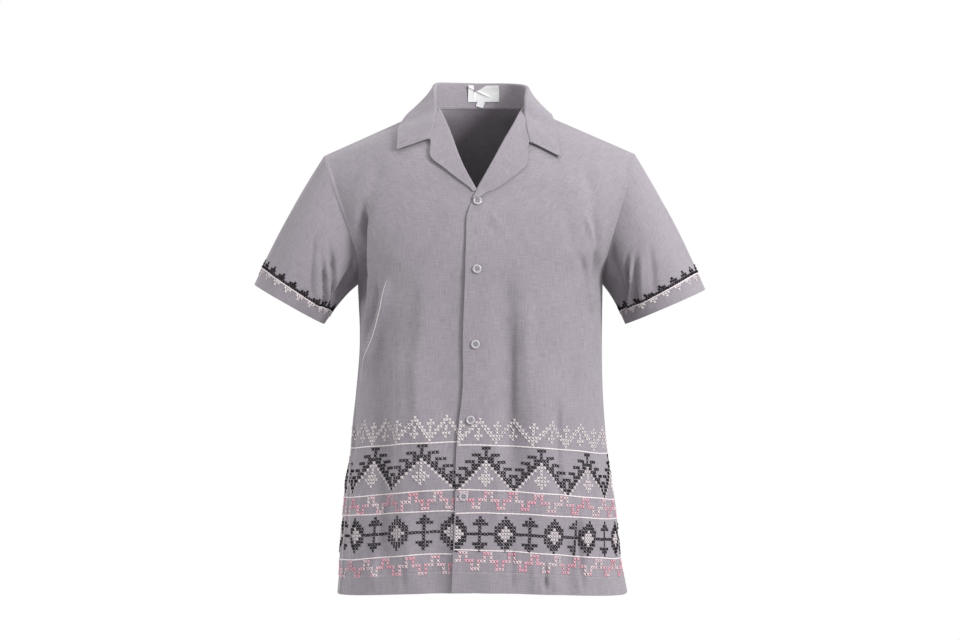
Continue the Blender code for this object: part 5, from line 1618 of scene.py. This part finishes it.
def make_topstitching(settings):
    """Machine topstitching of the hem, the cuffs and round the neck seam, and pale cords along
    folded edges that paint their highlights.
    """
    # one pale thread colour serves the stitches and the painted highlights of the folded edges
    thread = bpy.data.materials.get("grey_topstitch_thread_and_edge_highlight") or embroidery_cotton(
        "grey_topstitch_thread_and_edge_highlight", [linear("#A29C9F"), linear("#AAA5A7")], 0.75, 0.1)
    parts = []
    for name in ("front_left", "front_right", "back"):
        cloth = shirt_cloths()[name]
        run = np.arange(0.003, width_at(cloth, HEM_LEVEL) - 0.003, MACHINE_PITCH)
        parts.append(seam_dashes(cloth, run, np.full(len(run), HEM_LEVEL), 0.0022, 0.00034))
    for name in ("sleeve_left", "sleeve_right"):
        cloth = shirt_cloths()[name]
        run = np.arange(0.0, width_at(cloth, CUFF_SHARE) - 0.001, MACHINE_PITCH)
        share = 1.0 - (CUFF_LINE - 0.0016) / evened_length(cloth, run)
        parts.append(seam_dashes(cloth, run, share, 0.0022, 0.00022))
    # the folded edges of both side seams, and the tuck that runs down to the right one: raised
    # cords in the pale thread colour, a painted highlight along each fold
    for name, half_width, lift in (("front_right", 0.0013, -0.0011),
                                   ("front_left", 0.0007, -0.0006)):
        cloth = shirt_cloths()[name]
        climb = np.linspace(0.003, 4.56, 320)
        ends = np.interp(climb, cloth.levels, cloth.arc[:, -1]) - half_width * 0.4
        parts.append(couched_line(cloth, ends, climb, half_width, lift, 1.15))
    cloth = shirt_cloths()["front_right"]
    for corners, half_width in ((TUCK_LIT_EDGE, 0.0009), (SEAM_LIT_EDGE, 0.0008)):
        parts.append(lit_edge_line(cloth, corners, half_width))
    collar = collar_cloth()
    behind = collar[collar[:, 0, 1] > 0.0]
    foot, rise = behind[:, 0], unit(behind[:, STAND_STEPS] - behind[:, 0])
    run = np.concatenate(((0.0,), np.cumsum(np.linalg.norm(np.diff(foot, axis=0), axis=1))))
    wanted = np.arange(0.002, run[-1] - 0.002, MACHINE_PITCH)
    path = read_along(wanted, run, foot + rise * 0.0032)
    along = unit(np.gradient(path, axis=0))
    inward = unit(np.cross(read_along(wanted, run, rise), along))
    inward *= np.sign((inward * (np.array((0.0, 0.0, 0.02)) - path)).sum(axis=1, keepdims=True))
    path = path + inward * 0.0008
    parts.append(bars(path - along * 0.0011, path + along * 0.0011, inward, 0.00030, 0.0002,
                      0.00005))
    points, faces = joined(parts)
    piece = mesh_piece("topstitching", points, faces, thread, dye_and_shade=np.full(len(points), 0.5))


# Name, place, size and share of the key's power of each light, and what they look at.
LIGHTS = (("key", (2.45, -2.05, 1.05), 1.0, 1.0), ("rim", (-2.5, -0.9, -0.5), 0.9, 0.20),
          ("top", (0.2, -0.2, 2.2), 1.6, 0.20))
LIT_MIDDLE = (0.0, 0.0, -0.35)
FLOOR_SIDES, FLOOR_RADII = 96, (0.6, 1.5, 2.6)
# Width of the film and focal length in mm, and the place of the camera.
CAMERA_SENSOR, CAMERA_LENS, CAMERA_AT = 36.0, 80.3, (0.0, -3.2, -0.318)


def aimed(location, target):
    """Turn that makes a light at location look at target."""
    return (Vector(target) - Vector(location)).to_track_quat("-Z", "Y").to_euler()


def make_stage(settings):
    """A plain white floor and air, three large soft lights, and the camera."""
    scene = bpy.context.scene
    scene.view_settings.view_transform = "Standard"
    angles = np.arange(FLOOR_SIDES) * math.tau / FLOOR_SIDES
    height = np.full(FLOOR_SIDES, settings.floor_height)
    rings = np.stack([np.stack((radius * np.cos(angles), radius * np.sin(angles), height),
                               axis=-1) for radius in FLOOR_RADII])
    points = np.concatenate((rings.reshape(-1, 3), [(0.0, 0.0, settings.floor_height)]))
    index = ring_index(len(FLOOR_RADII), FLOOR_SIDES)
    quads = grid_faces(index)[:, [0, 3, 2, 1]]
    cap = fan(len(points) - 1, index[0])[:, [2, 0, 1]]
    mesh = bpy.data.meshes.new("floor")
    mesh.from_pydata(points.tolist(), [], quads.tolist() + cap.tolist())
    mesh.materials.append(studio_floor())
    floor = bpy.data.objects.new("floor", mesh)
    scene.collection.objects.link(floor)

    world = bpy.data.worlds.new("studio")
    world.use_nodes = True
    air = world.node_tree.nodes["Background"].inputs
    air["Color"].default_value = (1.0, 1.0, 1.0, 1.0)
    air["Strength"].default_value = settings.air_strength
    scene.world = world
    for name, location, size, share in LIGHTS:
        light = bpy.data.lights.new(name, "AREA")
        light.shape = "DISK"
        light.size = size
        light.energy = settings.key_power * share
        lamp = bpy.data.objects.new(name, light)
        lamp.location = location
        lamp.rotation_euler = aimed(location, LIT_MIDDLE)
        scene.collection.objects.link(lamp)

    camera = bpy.data.cameras.new("camera")
    camera.sensor_width, camera.lens, camera.clip_end = CAMERA_SENSOR, CAMERA_LENS, 50.0
    view = bpy.data.objects.new("camera", camera)
    view.location = CAMERA_AT
    view.rotation_euler = (math.pi / 2, 0.0, 0.0)
    scene.collection.objects.link(view)
    scene.camera = view


# ---------------------------------------------------------------- add-on

def colour_property(name, hex_colour, description):
    """A linear colour property whose default is given as sRGB hex."""
    return FloatVectorProperty(name=name, description=description, size=3, subtype="COLOR",
                               min=0.0, max=1.0, default=linear(hex_colour)[:3])


class ShirtSettings(bpy.types.PropertyGroup):
    """Sizes and colours of the shirt's finish."""
    cloth_thickness: FloatProperty(name="Cloth thickness", default=0.0008, min=0.0002, max=0.0016,
                                   unit="LENGTH", description="Thickness of the body's cloth")
    collar_thickness: FloatProperty(name="Collar thickness", default=0.0014, min=0.0005,
                                    max=0.003, unit="LENGTH",
                                    description="Thickness of the collar's two layers")
    thread_width: FloatProperty(name="Thread width", default=0.00175, min=0.0004, max=0.003,
                                unit="LENGTH", description="Width of a stitch's thread")
    cord_width: FloatProperty(name="Cord width", default=0.0021, min=0.0005, max=0.004,
                              unit="LENGTH", description="Width of the couched lines")
    floor_height: FloatProperty(name="Floor height", default=-1.25, max=-0.73, unit="LENGTH",
                                description="Height of the stage's floor")
    air_strength: FloatProperty(name="Air strength", default=1.0, min=0.0, max=5.0,
                                description="Brightness of the even light from all round")
    key_power: FloatProperty(name="Key power", default=170.0, min=0.0, unit="POWER",
                             description="Power of the main soft light")
    cloth_dark: colour_property("Warp colour", "#645F66", "Chambray's darker yarn")
    cloth_pale: colour_property("Weft colour", "#827C82", "Chambray's paler yarn")
    black_thread: colour_property("Black thread", "#0E0B0F", "Borders' black cotton")
    cream_thread: colour_property("Cream thread", "#BBB3B5", "Borders' cream cotton")
    pink_thread: colour_property("Pink thread", "#BE8594", "Darkest dye of the pink cotton")
    blush_thread: colour_property("Blush thread", "#BFA0A8", "Middle dye of the pink cotton")
    button_colour: colour_property("Button colour", "#98949A", "Resin of the buttons")


class SHIRT_OT_panels(bpy.types.Operator):
    """Makes both fronts and the back"""
    bl_idname = "shirt.panels"
    bl_label = "Fronts and back"
    bl_options = {"REGISTER", "UNDO"}

    def execute(self, context):
        """Makes both fronts and the back, or raises an error."""
        make_panels(context.scene.shirt)
        return {"FINISHED"}


class SHIRT_OT_sleeves(bpy.types.Operator):
    """Makes both sleeves"""
    bl_idname = "shirt.sleeves"
    bl_label = "Sleeves"
    bl_options = {"REGISTER", "UNDO"}

    def execute(self, context):
        """Makes both sleeves, or raises an error."""
        make_sleeves(context.scene.shirt)
        return {"FINISHED"}


class SHIRT_OT_collar(bpy.types.Operator):
    """Makes the collar and both lapels"""
    bl_idname = "shirt.collar"
    bl_label = "Collar and lapels"
    bl_options = {"REGISTER", "UNDO"}

    def execute(self, context):
        """Makes the collar and both lapels, or raises an error."""
        make_collar(context.scene.shirt)
        return {"FINISHED"}


class SHIRT_OT_labels(bpy.types.Operator):
    """Makes the bare neck label and size tab"""
    bl_idname = "shirt.labels"
    bl_label = "Label and tab"
    bl_options = {"REGISTER", "UNDO"}

    def execute(self, context):
        """Makes the bare neck label and size tab, or raises an error."""
        make_labels(context.scene.shirt)
        return {"FINISHED"}


class SHIRT_OT_buttons(bpy.types.Operator):
    """Makes the buttons and their thread"""
    bl_idname = "shirt.buttons"
    bl_label = "Buttons"
    bl_options = {"REGISTER", "UNDO"}

    def execute(self, context):
        """Makes the buttons and their thread, or raises an error."""
        make_buttons(context.scene.shirt)
        return {"FINISHED"}


class SHIRT_OT_borders(bpy.types.Operator):
    """Makes the cross-stitch borders round the body"""
    bl_idname = "shirt.borders"
    bl_label = "Body borders"
    bl_options = {"REGISTER", "UNDO"}

    def execute(self, context):
        """Makes the cross-stitch borders round the body, or raises an error."""
        make_borders(context.scene.shirt)
        return {"FINISHED"}


class SHIRT_OT_cuff_borders(bpy.types.Operator):
    """Makes the stepped borders round the cuffs"""
    bl_idname = "shirt.cuff_borders"
    bl_label = "Cuff borders"
    bl_options = {"REGISTER", "UNDO"}

    def execute(self, context):
        """Makes the stepped borders round the cuffs, or raises an error."""
        make_cuff_borders(context.scene.shirt)
        return {"FINISHED"}


class SHIRT_OT_topstitching(bpy.types.Operator):
    """Makes the machine topstitching"""
    bl_idname = "shirt.topstitching"
    bl_label = "Topstitching"
    bl_options = {"REGISTER", "UNDO"}

    def execute(self, context):
        """Makes the machine topstitching, or raises an error."""
        make_topstitching(context.scene.shirt)
        return {"FINISHED"}


class SHIRT_OT_stage(bpy.types.Operator):
    """Makes the floor, the lights and the camera"""
    bl_idname = "shirt.stage"
    bl_label = "Stage"
    bl_options = {"REGISTER", "UNDO"}

    def execute(self, context):
        """Makes the floor, the lights and the camera, or raises an error."""
        make_stage(context.scene.shirt)
        return {"FINISHED"}


OPERATORS = (SHIRT_OT_panels, SHIRT_OT_sleeves, SHIRT_OT_collar, SHIRT_OT_labels,
             SHIRT_OT_buttons, SHIRT_OT_borders, SHIRT_OT_cuff_borders, SHIRT_OT_topstitching,
             SHIRT_OT_stage)


class SHIRT_PT_sidebar(bpy.types.Panel):
    """Lists the shirt's sizes, colours and steps."""
    bl_idname = "SHIRT_PT_sidebar"
    bl_label = "Camp-collar shirt"
    bl_space_type = "VIEW_3D"
    bl_region_type = "UI"
    bl_category = "Shirt"

    def draw(self, context):
        """Draws every setting and then every operator."""
        for name in ShirtSettings.__annotations__:
            self.layout.prop(context.scene.shirt, name)
        for operator in OPERATORS:
            self.layout.operator(operator.bl_idname)


CLASSES = (ShirtSettings, *OPERATORS, SHIRT_PT_sidebar)


def register():
    """Registers the classes and hangs the settings on the scene."""
    for cls in CLASSES:
        bpy.utils.register_class(cls)
    bpy.types.Scene.shirt = PointerProperty(type=ShirtSettings)


def unregister():
    """Takes back what register did."""
    del bpy.types.Scene.shirt
    for cls in reversed(CLASSES):
        bpy.utils.unregister_class(cls)


def main():
    register()
    bpy.ops.shirt.panels()
    bpy.ops.shirt.sleeves()
    bpy.ops.shirt.collar()
    bpy.ops.shirt.labels()
    bpy.ops.shirt.buttons()
    bpy.ops.shirt.borders()
    bpy.ops.shirt.cuff_borders()
    bpy.ops.shirt.topstitching()
    bpy.ops.shirt.stage()


if __name__ == "__main__":
    main()
